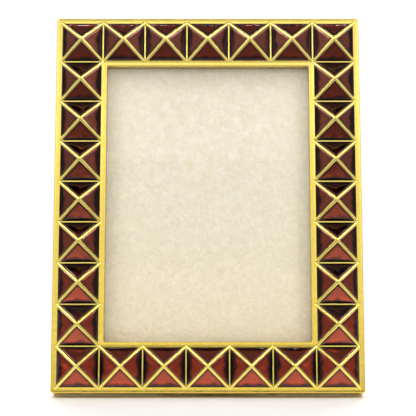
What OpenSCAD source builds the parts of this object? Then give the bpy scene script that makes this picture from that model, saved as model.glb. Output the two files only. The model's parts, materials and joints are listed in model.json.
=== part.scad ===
// Table picture frame: a cast border of enamelled pyramid studs round a window, with an easel back.
// Every piece is drawn lying down, face up, centred on the window, with z = 0 on the top of the
// bars between the studs. The module standing() then leans the whole frame back on its leg.

/* [Stud border] */
// Width of one stud cell, from bar to bar
stud_w = 25.4; // [23:0.1:30]
// Height of one stud cell along the face
stud_d = 24.7; // [23:0.1:30]
// Studs across the top
cols = 7; // [6:1:8]
// Studs up one side, corners included
rows = 9; // [8:1:10]
// Height of a stud's tip above the bars
stud_h = 7.8; // [6:0.1:9]
// Width of the thin bar between two studs
bar_w = 1.3; // [1:0.1:2]
// Width of the ridges that run from a stud's corners to its tip
ridge_w = 1.6; // [1.2:0.1:2.2]
// Depth of the ridges' feet below the bars
ridge_foot = 0.1; // [0.05:0.05:0.3]

/* [Enamel] */
// Depth of the enamel over the metal core, measured straight down
enamel_t = 1.5; // [1:0.1:2.2]
// Height of the enamel's swell above the flat of its facet
pillow_rise = 0.45; // [0.2:0.05:0.7]
// Width of the rounded band of enamel beside a bar or rim
pillow_base = 2.4; // [1.5:0.1:3]
// Width of the rounded band of enamel beside a ridge
pillow_side = 1.8; // [1:0.1:2.4]
// Depth of the enamel's lower edge below the bars
enamel_sink = 0.25; // [0.1:0.05:0.5]
// Steps in the rounding of the enamel
pillow_steps = 4; // [2:1:6]
// Gap between enamel and metal, so that the two never share space
enamel_gap = 0.02; // [0.01:0.01:0.05]

/* [Rims] */
// Width of the outer rim outside the stud cells
outer_rim = 2.65; // [2:0.05:5]
// Width of the inner rim, from the stud cells to the window
inner_rim = 2.65; // [2:0.05:5]
// Width by which both rims cover the edge of the studs
rim_cover = 0.8; // [0.7:0.05:1.2]
// Radius of the rims' edges along the outside and the window
rim_round = 0.8; // [0.4:0.1:1.2]
// Radius of the four outer corners, seen from the front
corner_r = 1.4; // [1:0.1:3]

/* [Window and picture] */
// Depth from the bars to the ledge that the glass rests on
lip_t = 7; // [5:0.1:10]
// Width of that ledge at the window's sides
lip_side = 2.65; // [2:0.05:5]
// Width of that ledge at the window's top and bottom
lip_end = 5.1; // [3:0.05:7]
// Gap round the glass, picture, card and back panel
rabbet_gap = 0.5; // [0.3:0.1:0.8]
// Thickness of the glass
glass_t = 2; // [1.5:0.1:3]
// Thickness of the picture
print_t = 0.3; // [0.2:0.05:0.5]
// Thickness of the card behind the picture
card_t = 1.4; // [1:0.1:2]

/* [Back panel] */
// Thickness of the back board
board_t = 2.4; // [2:0.1:4]
// Thickness of the fabric glued round the back board and the leg
fabric_t = 0.4; // [0.3:0.05:0.6]

/* [Turn buttons] */
// Width of a turn button
button_w = 7; // [5:0.5:8]
// Reach of a turn button from its screw to its tip
button_l = 12; // [10:0.5:14]
// Thickness of a turn button
button_t = 1.2; // [0.8:0.1:2]
// Distance from the rebate's edge out to the screws
button_out = 4.8; // [4.6:0.1:6]
// Distance from the panel's top and bottom edges to the screws
button_inset = 29; // [20:1:40]
// Gap under and over a turn button
button_gap = 0.1; // [0.05:0.05:0.2]
// Radius of a button screw's shank
screw_r = 1.4; // [1:0.1:1.6]
// Length of a button screw's shank in the casting
screw_l = 6; // [4:0.5:8]
// Radius of a button screw's head
screw_head_r = 2.8; // [2.4:0.1:3.2]
// Height of a button screw's head
screw_head_t = 1.3; // [1:0.1:2]
// Width of the slot in a screw's head
slot_w = 0.8; // [0.6:0.1:1]
// Depth of the slot in a screw's head
slot_t = 0.6; // [0.4:0.1:0.8]

/* [Easel hinge] */
// Distance from the panel's top edge down to the hinge pin
hinge_drop = 55; // [45:1:70]
// Width of the hinge
hinge_w = 30; // [26:1:32]
// Width of the middle knuckle, which belongs to the leg
knuckle_w = 11.6; // [8:0.1:12]
// Gap between neighbouring knuckles
knuckle_gap = 0.2; // [0.1:0.05:0.4]
// Outer radius of the knuckles
knuckle_r = 2.4; // [2.2:0.1:3]
// Gap between the knuckles and the panel
knuckle_lift = 0.3; // [0.2:0.05:0.5]
// Thickness of the two hinge leaves
leaf_t = 1; // [0.8:0.1:1.2]
// Length of each leaf from the pin
leaf_l = 20; // [18:0.5:24]
// Distance from a leaf's end to its rivets
rivet_edge = 5; // [4:0.5:6]
// Distance from a leaf's side to its rivets
rivet_side = 6; // [4:0.5:7]
// Gap left at the open leg's stop
stop_gap = 0.1; // [0.05:0.05:0.2]
// Radius of the hinge pin
pin_r = 0.9; // [0.7:0.1:1.1]
// Radius of the pin's upset ends
pin_head_r = 1.5; // [1.4:0.1:1.8]
// Length of each upset end
pin_head_t = 0.6; // [0.4:0.1:1]
// Radius of a rivet's shank
rivet_r = 1.1; // [0.8:0.1:1.3]
// Radius of a rivet's head
rivet_head_r = 2; // [1.8:0.1:2.4]
// Height of a rivet's head
rivet_head_t = 0.8; // [0.6:0.1:1]
// Height of a rivet's clinched tail
rivet_tail_t = 0.5; // [0.4:0.1:0.7]
// Running gap between a pin, screw or rivet and its hole, on the radius
fit_gap = 0.05; // [0.02:0.01:0.08]

/* [Easel leg and stance] */
// Angle by which the frame leans back
lean = 13.5; // [12:0.5:18]
// Angle between the open leg and the vertical
leg_splay = 8.5; // [6:0.5:11]
// Width of the leg at the hinge
leg_top_w = 34; // [32:1:44]
// Width of the leg at the floor
leg_foot_w = 62; // [50:1:66]
// Thickness of the leg's board
leg_board_t = 2.6; // [2:0.1:3]
// Gap between the leg's top edge and the knuckles
leg_top_gap = 0.6; // [0.4:0.1:1.5]

/* [Hidden] */
// Sides of a round cut or boss, and of the small arcs on the rims
$fn = 64;
// Overshoot of a cut past the face it opens
cut = 1;
// Depth to which ridges, bars and cores are rooted in the casting
root_t = 1;

grid_w = cols * stud_w;
grid_d = rows * stud_d;
hole_w = grid_w - 2 * stud_w;
hole_d = grid_d - 2 * stud_d;
frame_w = grid_w + 2 * outer_rim;
frame_d = grid_d + 2 * outer_rim;
window_w = hole_w - 2 * inner_rim;
window_d = hole_d - 2 * inner_rim;
pane_w = window_w + 2 * lip_side;
pane_d = window_d + 2 * lip_end;
rabbet_w = pane_w + 2 * rabbet_gap;
rabbet_d = pane_d + 2 * rabbet_gap;

// Depths below the bars, from the glass to the back of the frame
glass_back = lip_t + glass_t;
print_back = glass_back + print_t;
card_back = print_back + card_t;
board_back = card_back + board_t;
body_t = board_back + fabric_t;

half_diag = sqrt(stud_w * stud_w + stud_d * stud_d) / 2;
diag_angle = atan2(stud_d, stud_w);

screw_x = rabbet_w / 2 + button_out;
screw_y = pane_d / 2 - button_inset;
hole_r = screw_r + fit_gap;
screw_head_z = button_gap + button_t + button_gap;

// The leg's board lies in the plane of the pin, with fabric on both faces
leg_half = leg_board_t / 2 + fabric_t;
pin_drop = knuckle_lift + knuckle_r;
pin_y = pane_d / 2 - hinge_drop;
open_angle = lean + leg_splay;
leg_top = knuckle_r + leg_top_gap;
rivet_hole_r = rivet_r + fit_gap;
rivet_row = leaf_l - rivet_edge;
rivet_x = hinge_w / 2 - rivet_side;
tail_clear = 2 * fit_gap;

// Height to which the leg's heel runs past the pin, where it meets the fixed leaf
heel = (pin_drop - leaf_t - stop_gap + leg_half * cos(open_angle)) / sin(open_angle);

// The pin's place in the standing frame, measured from the rear bottom edge
pin_up = pin_y + frame_d / 2;
pin_world_y = pin_up * sin(lean) + pin_drop * cos(lean);
pin_world_z = pin_up * cos(lean) - pin_drop * sin(lean);
leg_reach = (pin_world_z + leg_half * sin(leg_splay)) / cos(leg_splay);

// Foremost and rearmost points of the standing frame, which put the origin midway
tip_low = ridge_w / 2 * stud_w / (2 * half_diag);
front_y = (frame_d / 2 - grid_d / 2 + stud_d / 2 - tip_low) * sin(lean)
    - (stud_h + body_t) * cos(lean);
back_y = pin_world_y + leg_half * cos(leg_splay) + leg_reach * sin(leg_splay);
mid_y = (front_y + back_y) / 2;

gold = "#e3c04a";
garnet = "#5c1f1c";
brass = "#c9a23f";
ivory = "#e6dcc3";
velvet = "#2a2322";
boards = "#8a6a48";

// Leans the flat frame back and sets its rear bottom edge on the floor
module standing() {
    translate([0, -mid_y, 0])
        rotate([90 - lean, 0, 0])
            translate([0, frame_d / 2, body_t])
                children();
}

// Puts the leg and its leaf on the pin, turned to the open position
module on_open_leg() {
    standing()
        translate([0, pin_y, -body_t - pin_drop])
            rotate([open_angle, 0, 0])
                children();
}

// A centred box from depth z0 up to z1
module slab(w, d, z0, z1) {
    translate([-w / 2, -d / 2, z0])
        cube([w, d, z1 - z0]);
}

// Extrudes a section drawn in x and z along y
module along_y(length) {
    rotate([90, 0, 0])
        linear_extrude(length, center = true)
            children();
}

// Extrudes a section drawn in y and z along x
module along_x(length) {
    rotate([90, 0, 90])
        linear_extrude(length, center = true)
            children();
}

module rounded_plan(w, d, r) {
    square([w - 2 * r, d], center = true);
    square([w, d - 2 * r], center = true);
    for (x = [-1, 1], y = [-1, 1])
        translate([x * (w / 2 - r), y * (d / 2 - r)])
            circle(r);
}

// Section of the casting, with its two front edges rounded
module block_section(w) {
    r = rim_round;
    translate([-w / 2, -body_t])
        square([w, body_t - r]);
    translate([-w / 2 + r, -body_t])
        square([w - 2 * r, body_t]);
    for (x = [-1, 1])
        translate([x * (w / 2 - r), -r])
            circle(r);
}

// Section of the window, which opens out over the rounded edge of the inner rim
module window_section(w) {
    r = rim_round;
    translate([-w / 2, -lip_t - cut])
        square([w, lip_t + 2 * cut]);
    difference() {
        translate([-w / 2 - r, -r])
            square([w + 2 * r, r + cut]);
        for (x = [-1, 1])
            translate([x * (w / 2 + r), -r])
                circle(r);
    }
}

module casting_block() {
    intersection() {
        along_y(frame_d)
            block_section(frame_w);
        along_x(frame_w)
            block_section(frame_d);
        translate([0, 0, -body_t])
            linear_extrude(body_t)
                rounded_plan(frame_w, frame_d, corner_r);
    }
}

module window_cut() {
    length = max(frame_w, frame_d);
    intersection() {
        along_y(length)
            window_section(window_w);
        along_x(length)
            window_section(window_d);
    }
}

// The sunk track between the two rims, in which the studs stand
module stud_track() {
    difference() {
        slab(grid_w - 2 * rim_cover, grid_d - 2 * rim_cover, -enamel_t, cut);
        slab(hole_w + 2 * rim_cover, hole_d + 2 * rim_cover, -enamel_t - cut, 2 * cut);
    }
}

// Section of the metal core under the enamel of one stud
module core_section(cell) {
    half = cell / 2 - bar_w / 4;
    foot = stud_h * (bar_w / 4) / (cell / 2) - enamel_t;
    polygon([
        [-half, -enamel_t - root_t],
        [half, -enamel_t - root_t],
        [half, foot],
        [0, stud_h - enamel_t],
        [-half, foot]
    ]);
}

// One pair of opposite ridges, meeting at the tip and running out inside the rims and bars
module ridge_pair(angle) {
    past = half_diag + root_t;
    end_z = stud_h - (stud_h + ridge_foot) * past / half_diag;
    rotate([0, 0, angle])
        along_y(ridge_w)
            polygon([
                [-past, -enamel_t - root_t],
                [past, -enamel_t - root_t],
                [past, end_z],
                [0, stud_h],
                [-past, end_z]
            ]);
}

module stud_metal() {
    intersection() {
        along_y(stud_d)
            core_section(stud_w);
        along_x(stud_w)
            core_section(stud_d);
    }
    ridge_pair(diag_angle);
    ridge_pair(-diag_angle);
}

function column_x(i) = (i - (cols + 1) / 2) * stud_w;
function row_y(j) = ((rows - 1) / 2 - j) * stud_d;

module each_stud() {
    for (i = [1:cols], j = [0, rows - 1])
        translate([column_x(i), row_y(j), 0])
            children();
    for (i = [1, cols], j = [1:rows - 2])
        translate([column_x(i), row_y(j), 0])
            children();
}

module bars() {
    span = stud_w - 2 * rim_cover + root_t;
    rise = stud_d - 2 * rim_cover + root_t;
    for (i = [1:cols - 1], j = [0, rows - 1])
        translate([column_x(i) + stud_w / 2, row_y(j), 0])
            slab(bar_w, rise, -enamel_t - root_t, 0);
    for (i = [1, cols], j = [0:rows - 2])
        translate([column_x(i), row_y(j) - stud_d / 2, 0])
            slab(span, bar_w, -enamel_t - root_t, 0);
}

module at_screws() {
    for (x = [-1, 1], y = [-1, 1])
        translate([x * screw_x, y * screw_y, -body_t])
            children();
}

module frame_casting() {
    color(gold)
        standing() {
            difference() {
                casting_block();
                window_cut();
                slab(rabbet_w, rabbet_d, -body_t - cut, -lip_t);
                stud_track();
                at_screws()
                    translate([0, 0, -cut])
                        cylinder(h = screw_l + cut, r = hole_r);
            }
            each_stud()
                stud_metal();
            bars();
        }
}

// Plan of one enamel fill whose base faces -y: left, right and inner corner.
// base_in is its distance from the cell's edge, side_in that from the ridges' middle lines.
function fill_plan(w, d, base_in, side_in) =
    let (diag = sqrt(w * w + d * d))
    let (y = base_in - d / 2)
    let (x = -(y * w + side_in * diag) / d)
    [[-x, y], [x, y], [0, -side_in * diag / w]];

function facet_z(y, d) = stud_h * (1 + 2 * y / d);

// One ring of the swelling top: turn runs from 0 at the edge to 90 on the flat
function fill_ring(w, d, base_in, turn) =
    let (edge_y = base_in - d / 2)
    let (drop = facet_z(edge_y, d) + enamel_sink)
    let (rim = fill_plan(w, d, base_in, ridge_w / 2 + enamel_gap))
    let (spread = 1 - cos(turn))
    let (plan = fill_plan(w, d, base_in + pillow_base * spread,
        ridge_w / 2 + enamel_gap + pillow_side * spread))
    [for (p = plan)
        let (sink = drop * (rim[2][1] - p[1]) / (rim[2][1] - edge_y))
        [p[0], p[1], facet_z(p[1], d) - sink + (sink + pillow_rise) * sin(turn)]];

// One of a stud's four fills, as a small pillow over the sloping core
module enamel_fill(w, d, base_in) {
    floor_ring = [for (p = fill_plan(w, d, base_in, ridge_w / 2 + enamel_gap))
        [p[0], p[1], facet_z(p[1], d) - enamel_t + enamel_gap]];
    rings = [for (k = [0:pillow_steps]) fill_ring(w, d, base_in, 90 * k / pillow_steps)];
    points = concat(floor_ring, [for (ring = rings) each ring]);
    top = 3 * (pillow_steps + 1);
    sides = [for (k = [0:pillow_steps], i = [0:2])
        let (a = 3 * k + i)
        let (b = 3 * k + (i + 1) % 3)
        each [[a, a + 3, b + 3], [a, b + 3, b]]];
    polyhedron(points, concat([[0, 1, 2], [top + 2, top + 1, top]], sides));
}

// The four fills of one stud; edges holds each side's metal width: south, east, north, west
module stud_enamel(x, y, edges) {
    color(garnet)
        standing()
            translate([x, y, 0])
                for (s = [0:3])
                    rotate([0, 0, 90 * s])
                        enamel_fill(
                            s % 2 == 0 ? stud_w : stud_d,
                            s % 2 == 0 ? stud_d : stud_w,
                            edges[s] + enamel_gap
                        );
}

// Metal width beside a stud: half a bar next to another stud, or a rim's cover
function beside(next_is_stud) = next_is_stud ? bar_w / 2 : rim_cover;

module enamel_top(i) {
    corner = i == 1 || i == cols;
    stud_enamel(column_x(i), row_y(0),
        [beside(corner), beside(i < cols), rim_cover, beside(i > 1)]);
}

module enamel_bottom(i) {
    corner = i == 1 || i == cols;
    stud_enamel(column_x(i), row_y(rows - 1),
        [rim_cover, beside(i < cols), beside(corner), beside(i > 1)]);
}

module enamel_side(column, j) {
    stud_enamel(column_x(column), row_y(j), [bar_w / 2, rim_cover, bar_w / 2, rim_cover]);
}

module glass_pane() {
    color("lightcyan", 0.35)
        standing()
            slab(pane_w, pane_d, -glass_back, -lip_t);
}

module photo_insert() {
    color(ivory)
        standing()
            slab(pane_w, pane_d, -print_back, -glass_back);
}

module backing_card() {
    color("#cdbfa4")
        standing()
            slab(pane_w, pane_d, -card_back, -print_back);
}

module at_panel_rivets() {
    for (x = [-1, 1])
        translate([x * rivet_x, pin_y + rivet_row, -body_t])
            children();
}

module back_board() {
    side = pane_w - 2 * fabric_t;
    end = pane_d - 2 * fabric_t;
    color(boards)
        standing()
            difference() {
                slab(side, end, -board_back, -card_back);
                at_panel_rivets() {
                    cylinder(h = body_t, r = rivet_hole_r);
                    translate([0, 0, body_t - card_back - rivet_tail_t - tail_clear])
                        cylinder(h = rivet_tail_t + tail_clear + cut, r = rivet_head_r + fit_gap);
                }
            }
}

module back_fabric() {
    color(velvet)
        standing()
            difference() {
                slab(pane_w, pane_d, -body_t, -card_back);
                slab(pane_w - 2 * fabric_t, pane_d - 2 * fabric_t, -board_back, -card_back + cut);
                at_panel_rivets()
                    translate([0, 0, -cut])
                        cylinder(h = fabric_t + 2 * cut, r = rivet_hole_r);
            }
}

module button_screws() {
    color(brass)
        standing()
            at_screws()
                difference() {
                    union() {
                        translate([0, 0, -screw_head_z - cut / 2])
                            cylinder(h = screw_head_z + cut / 2 + screw_l - fit_gap, r = screw_r);
                        translate([0, 0, -screw_head_z - screw_head_t])
                            cylinder(h = screw_head_t, r = screw_head_r);
                    }
                    translate([-screw_head_r - cut, -slot_w / 2, -screw_head_z - screw_head_t - cut])
                        cube([2 * (screw_head_r + cut), slot_w, slot_t + cut]);
                }
}

// One turn button, drawn over its screw with its tip towards +x
module button_plate() {
    half = button_w / 2;
    difference() {
        union() {
            cylinder(h = button_t, r = half);
            translate([0, -half, 0])
                cube([button_l - half, button_w, button_t]);
            translate([button_l - half, 0, 0])
                cylinder(h = button_t, r = half);
        }
        translate([0, 0, -cut])
            cylinder(h = button_t + 2 * cut, r = hole_r);
    }
}

// Buttons 1 and 2 sit at the upper left and lower left of the face, 3 and 4 on its right
module turn_button(k) {
    x = k < 3 ? -1 : 1;
    y = k % 2 == 1 ? 1 : -1;
    color(brass)
        standing()
            translate([x * screw_x, y * screw_y, -body_t - button_gap - button_t])
                rotate([0, 0, x > 0 ? 180 : 0])
                    button_plate();
}

// A row of knuckles on the pin from x0 to x1, bored for it
module knuckle(x0, x1) {
    translate([x0, 0, 0])
        rotate([0, 90, 0])
            cylinder(h = x1 - x0, r = knuckle_r);
}

module pin_bore() {
    rotate([0, 90, 0])
        cylinder(h = hinge_w + 2 * cut, r = pin_r + fit_gap, center = true);
}

// The fixed leaf, riveted to the back panel, with the two outer knuckles
module hinge_plate() {
    inner = knuckle_w / 2 + knuckle_gap;
    notch = knuckle_r + knuckle_gap;
    color(brass)
        standing()
            difference() {
                union() {
                    translate([-hinge_w / 2, pin_y, -body_t - leaf_t])
                        cube([hinge_w, leaf_l, leaf_t]);
                    translate([0, pin_y, -body_t - pin_drop])
                        for (x = [-hinge_w / 2, inner])
                            knuckle(x, x + hinge_w / 2 - inner);
                }
                translate([-inner, pin_y - cut, -body_t - leaf_t - cut])
                    cube([2 * inner, notch + cut, leaf_t + 2 * cut]);
                translate([0, pin_y, -body_t - pin_drop])
                    pin_bore();
                at_panel_rivets()
                    translate([0, 0, -leaf_t - cut])
                        cylinder(h = leaf_t + 2 * cut, r = rivet_hole_r);
            }
}

module hinge_pin() {
    color(brass)
        standing()
            translate([0, pin_y, -body_t - pin_drop])
                rotate([0, 90, 0]) {
                    cylinder(h = hinge_w + 2 * fit_gap, r = pin_r, center = true);
                    for (s = [0, 1])
                        mirror([0, 0, s])
                            translate([0, 0, hinge_w / 2 + fit_gap])
                                cylinder(h = pin_head_t, r = pin_head_r);
                }
}

// A rivet from its head at z = 0 downwards: head above, clinched tail below
module rivet(grip) {
    translate([0, 0, -grip - rivet_tail_t])
        cylinder(h = grip + rivet_tail_t + rivet_head_t / 2, r = rivet_r);
    cylinder(h = rivet_head_t, r = rivet_head_r);
    translate([0, 0, -grip - rivet_tail_t])
        cylinder(h = rivet_tail_t, r = rivet_head_r);
}

// The panel's rivets run from the leaf to a sunk tail in the front of the board
module panel_rivets() {
    grip = leaf_t + body_t - card_back - rivet_tail_t - tail_clear / 2;
    color(brass)
        standing()
            at_panel_rivets()
                translate([0, 0, -leaf_t])
                    mirror([0, 0, 1])
                        rivet(grip);
}

module at_leg_rivets() {
    for (x = [-1, 1])
        translate([x * rivet_x, -rivet_row, 0])
            children();
}

// The moving leaf on the leg's outer face, with the middle knuckle and the stop heel above it
module hinge_leaf() {
    color(brass)
        on_open_leg()
            difference() {
                union() {
                    translate([-hinge_w / 2, -leaf_l, -leg_half - leaf_t])
                        cube([hinge_w, leaf_l - leg_top, leaf_t]);
                    translate([-knuckle_w / 2, -leg_top - cut, -leg_half - leaf_t])
                        cube([knuckle_w, leg_top + cut + heel, leaf_t]);
                    knuckle(-knuckle_w / 2, knuckle_w / 2);
                }
                pin_bore();
                at_leg_rivets()
                    translate([0, 0, -leg_half - leaf_t - cut])
                        cylinder(h = leaf_t + 2 * cut, r = rivet_hole_r);
            }
}

// Plan of the leg below the pin, wider at the foot and cut off by the floor
module leg_plan(inset) {
    end = leg_reach + leg_half;
    slope = (leg_foot_w - leg_top_w) / 2 / (end - leg_top);
    top_half = leg_top_w / 2 - inset;
    foot_half = leg_foot_w / 2 - inset + slope * inset;
    polygon([
        [-top_half, -leg_top],
        [top_half, -leg_top],
        [foot_half, -end],
        [-foot_half, -end]
    ]);
}

// Everything above a level of the room
module above(level) {
    size = 4 * frame_d;
    translate([-size / 2, -size / 2, level])
        cube(size);
}

module leg_rivet_holes() {
    at_leg_rivets()
        cylinder(h = 2 * leg_half + 2 * cut, r = rivet_hole_r, center = true);
}

module leg_board() {
    color(boards)
        intersection() {
            on_open_leg()
                difference() {
                    translate([0, 0, -leg_board_t / 2])
                        linear_extrude(leg_board_t)
                            leg_plan(fabric_t);
                    leg_rivet_holes();
                }
            above(fabric_t);
        }
}

module leg_fabric() {
    color(velvet)
        difference() {
            intersection() {
                on_open_leg()
                    difference() {
                        translate([0, 0, -leg_half])
                            linear_extrude(2 * leg_half)
                                leg_plan(0);
                        leg_rivet_holes();
                    }
                above(0);
            }
            intersection() {
                on_open_leg()
                    translate([0, 0, -leg_board_t / 2])
                        linear_extrude(leg_board_t)
                            union() {
                                leg_plan(fabric_t);
                                translate([-leg_top_w / 2 + fabric_t, -leg_top - fabric_t])
                                    square([leg_top_w - 2 * fabric_t, 2 * fabric_t]);
                            }
                above(fabric_t);
            }
        }
}

module leg_rivets() {
    color(brass)
        on_open_leg()
            at_leg_rivets()
                translate([0, 0, -leg_half - leaf_t])
                    mirror([0, 0, 1])
                        rivet(2 * leg_half + leaf_t);
}

frame_casting();
for (i = [1:cols]) {
    enamel_top(i);
    enamel_bottom(i);
}
for (j = [1:rows - 2]) {
    enamel_side(1, j);
    enamel_side(cols, j);
}
glass_pane();
photo_insert();
backing_card();
back_board();
back_fabric();
button_screws();
for (k = [1:4]) {
    turn_button(k);
}
hinge_plate();
hinge_pin();
panel_rivets();
hinge_leaf();
leg_rivets();
leg_board();
leg_fabric();
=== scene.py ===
"""An enamelled table picture frame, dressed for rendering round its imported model.

Sizes are in metres. Pieces of the face are built lying down, centred on the window, with x to
the right, y up the face and z out of it, and z = 0 on the bars. FACE then stands them up."""

import json
import math
import random

import bmesh
import bpy
from bpy.props import FloatProperty, FloatVectorProperty, IntProperty, PointerProperty
from mathutils import Matrix, Vector, noise

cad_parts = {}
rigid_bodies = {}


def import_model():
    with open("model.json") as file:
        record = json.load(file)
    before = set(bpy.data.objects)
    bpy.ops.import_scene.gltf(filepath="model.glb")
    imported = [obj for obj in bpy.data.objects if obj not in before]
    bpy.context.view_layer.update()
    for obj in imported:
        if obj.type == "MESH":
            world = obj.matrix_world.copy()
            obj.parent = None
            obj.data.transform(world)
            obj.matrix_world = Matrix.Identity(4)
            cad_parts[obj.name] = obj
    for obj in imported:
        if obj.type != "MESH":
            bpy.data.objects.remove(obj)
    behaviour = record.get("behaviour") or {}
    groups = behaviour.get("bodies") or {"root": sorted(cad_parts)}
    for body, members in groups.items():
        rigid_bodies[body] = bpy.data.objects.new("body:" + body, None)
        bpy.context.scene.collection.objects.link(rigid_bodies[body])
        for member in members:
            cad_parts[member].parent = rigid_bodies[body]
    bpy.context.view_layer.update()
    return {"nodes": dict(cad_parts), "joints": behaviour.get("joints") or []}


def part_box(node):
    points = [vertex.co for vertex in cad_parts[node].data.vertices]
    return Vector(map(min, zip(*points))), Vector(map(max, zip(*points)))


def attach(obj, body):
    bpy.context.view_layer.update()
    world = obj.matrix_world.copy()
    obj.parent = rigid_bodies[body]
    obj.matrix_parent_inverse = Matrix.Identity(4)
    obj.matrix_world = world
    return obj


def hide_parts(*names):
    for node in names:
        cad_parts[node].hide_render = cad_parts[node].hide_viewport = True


bl_info = {
    "name": "Enamel picture frame",
    "version": (1, 0, 0),
    "blender": (4, 5, 0),
    "location": "3D View > Sidebar > Picture frame",
    "description": "Plated casting, enamelled studs, glazing and easel back of a table frame",
    "category": "Object",
}

for stray in list(bpy.data.objects):
    bpy.data.objects.remove(stray)
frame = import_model()

FRAME_BODY = "frame"
LEG_BODY = "easel_leg"
# Start of the names of the operators and of the scene's groups of settings
PREFIX = "picture_frame"
# Depth of the middle of the glass below the bars
GLASS_DEPTH = 0.008
# Sorts of a node group's outputs, by the types of what they are linked to
OUTPUT_SORTS = {"VALUE": "Float", "RGBA": "Color", "GEOMETRY": "Geometry"}
# Too small a length to matter
TINY = 0.00001
# Degrees between faces from which their edge stays sharp, on metal and cloth and on enamel
SHARP = 35
ENAMEL_SHARP = 50
# A rectangle's corners, as the signs of x and y
CORNERS = ((1, 1), (-1, 1), (-1, -1), (1, -1))
# Heights between which the plating's painted shade, full at its foot, fades out towards its head
PAINTED_SHADE_FULL = 0.02
PAINTED_SHADE_GONE = 0.2
# How strongly the plating is rubbed on its edges, and what rubbing takes off its roughness
RUB_SHARE = 0.8
RUB_GLOSS = 0.08
# What its faint streaks add to its roughness, and how dark its painted shade is in hollows
STREAK_GLOSS = 0.06
HOLLOW_PAINTED_SHADE = 0.4
# Painted shade on the window's wall: where it starts, as a share of the ledge's depth, and how dark
WALL_SHADE_AT = 0.35
WALL_SHADE = 0.6
# Points along one wire of the lattice, and round it
WIRE_POINTS = 14
WIRE_SIDES = 12
# Noise stays within about a quarter of its middle, so this brings it up to its full reach
NOISE_REACH = 4.0
# Sizes of the border that the lattice's node tree takes beside the lattice's own
LATTICE_BORDER = ("cols", "rows", "stud_w", "stud_d", "stud_h", "core_drop", "rim_cover")
# Marks on the enamel's vertices: pooled enamel with painted shade, painted glow, tone, painted
# sheen
ENAMEL_MARKS = ("pool", "ember", "tone", "haze")
# Which of a stud's fills lies above its tip, when they are counted from the one below it
NORTH = 2
# Ranges of the painted glow by chance, above and below a tip and to its left and right
PAINTED_GLOW = (0.3, 0.8)
FLANK_PAINTED_GLOW = (0.2, 0.5)
# Share of the way down the frame from which the painted foot glow rises, and the head's painted
# sheen
PAINTED_GLOW_FROM = 0.45
MOST_PAINTED_SHEEN = 0.75
# Where the painted glow lies across the dark band, and how far noise moves both, as shares of it
PAINTED_EMBER_AT = 0.7
POOL_STRAY = 0.3
# Share of the core's depth that the enamel reaches down to
CORE_SHARE = 0.98
# The painted glowing arc's usual strength, and how strongly noise breaks it up
PAINTED_EMBER_LEVEL = 0.6
PAINTED_EMBER_BREAKS = 1.5
# Range of a fill's swell by chance, as shares of the rise, and of its place in the noise
RISE_RANGE = (0.8, 1.2)
NOISE_RANGE = (0, 9)
# Shares of a domed head: its rim's height, that rim's bevel, and its underside's radius
HEAD_RIM = 0.35
RIM_BEVEL = 0.3
HEAD_UNDER = 0.96
# The end of a rivet's clinched tail, as a share of its radius
TAIL_END = 0.94
# The hinge pin's radius as a share of a rivet's shank, and its ends' rims as a share of them
PIN_SHARE = 0.8
PIN_RIM = 0.3
# Degrees of the arcs of a domed head and of a pin's end that stop short of their tops
DOME_ARC = 84
PIN_ARC = 80
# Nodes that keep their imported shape, and their materials
PLAIN_NODES = {
    "glass_pane": "flat_glass",
    "photo_insert": "bare_paper",
    "backing_card": "grey_card",
    "back_board": "pressed_board",
    "leg_board": "pressed_board",
}
# Half the part's footprint, outside which the floor fades to white, and half the floor's width
FOOTPRINT = (0.0916, 0.0388, 0)
FLOOR_HALF = 12
# The dark cards' half width, distance from the part's middle, and height over the floor
CARD_HALF = 0.25
CARD_AT = 0.29
CARD_UP = 0.0005
# The camera's sensor width in mm, and the nearest that it sees
SENSOR = 36
NEAREST = 0.05
# Directions backwards between which the dark room rises to the pale sweep
SWEEP = (0.2, 0.6)
# Watts for a square metre of lamp at a brightness of 1
LAMP_WATTS = 4
# Soft lamps on a dome: name, bearing to the left of the front, height, width and depth, all in
# degrees, and brightness. One with a second brightness is a pair, and that is its right lamp's.
LAMPS = (
    ("front_low", 0, 17.5, 42, 8, 0.84),
    ("front_middle", 0, 25, 42, 7, 0.56),
    ("front_high", 0, 33, 42, 9, 1.14),
    ("front_rise", 0, 49, 26, 15, 0.5),
    ("front_top", 0, 73, 60, 12, 0.6),
    ("low", 38, 12, 34, 13, 0.2, 0.2),
    ("key", 38, 32, 34, 27, 0.75, 1.0),
    ("fill", 70, 21, 30, 28, 0.18, 0.18),
    ("high", 70, 48, 30, 28, 1.9, 1.8),
    ("rear", 100, 48, 30, 26, 1.1, 1.1),
    ("edge", 97, 24, 5, 22, 1.6, 1.6),
    ("spark", 55, 56, 3, 3, 32.0, 32.0),
    ("over", 0, 83, 60, 7, 0.15),
    ("crown", 0, 97, 60, 6, 0.12),
    ("glint", 48, 40, 3, 3, 32.0, 32.0),
    ("back", 180, 44, 50, 22, 6.0),
)
# Small lamps past the top of the dome, for the glints along the top row: bearing and height, and
# the width, depth and brightness that all of them have
SPARKS = (
    (-40, 105.0), (-36, 104.5), (-33, 104.5), (-25, 103.5), (-15, 102.5), (-4, 102.0),
    (2, 102.5), (12, 102.5), (26, 103.5), (33, 104.5), (37, 105.0),
)
SPARK = (0.6, 0.3, 80.0)


def joint(name):
    """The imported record's joint of that name."""
    return next(j for j in frame["joints"] if j["name"] == name)


def middle(node):
    """The middle of a CAD node's box."""
    low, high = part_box(node)
    return (low + high) / 2


def standing_matrix():
    """Stands a piece of the face up: its z goes along the turn buttons' axis."""
    out = Vector(joint("button_1_turn")["axis"]).normalized()
    right = Vector((1, 0, 0))
    turned = Matrix((right, out.cross(right), out)).transposed().to_4x4()
    return Matrix.Translation(middle("glass_pane") + out * GLASS_DEPTH) @ turned


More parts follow.
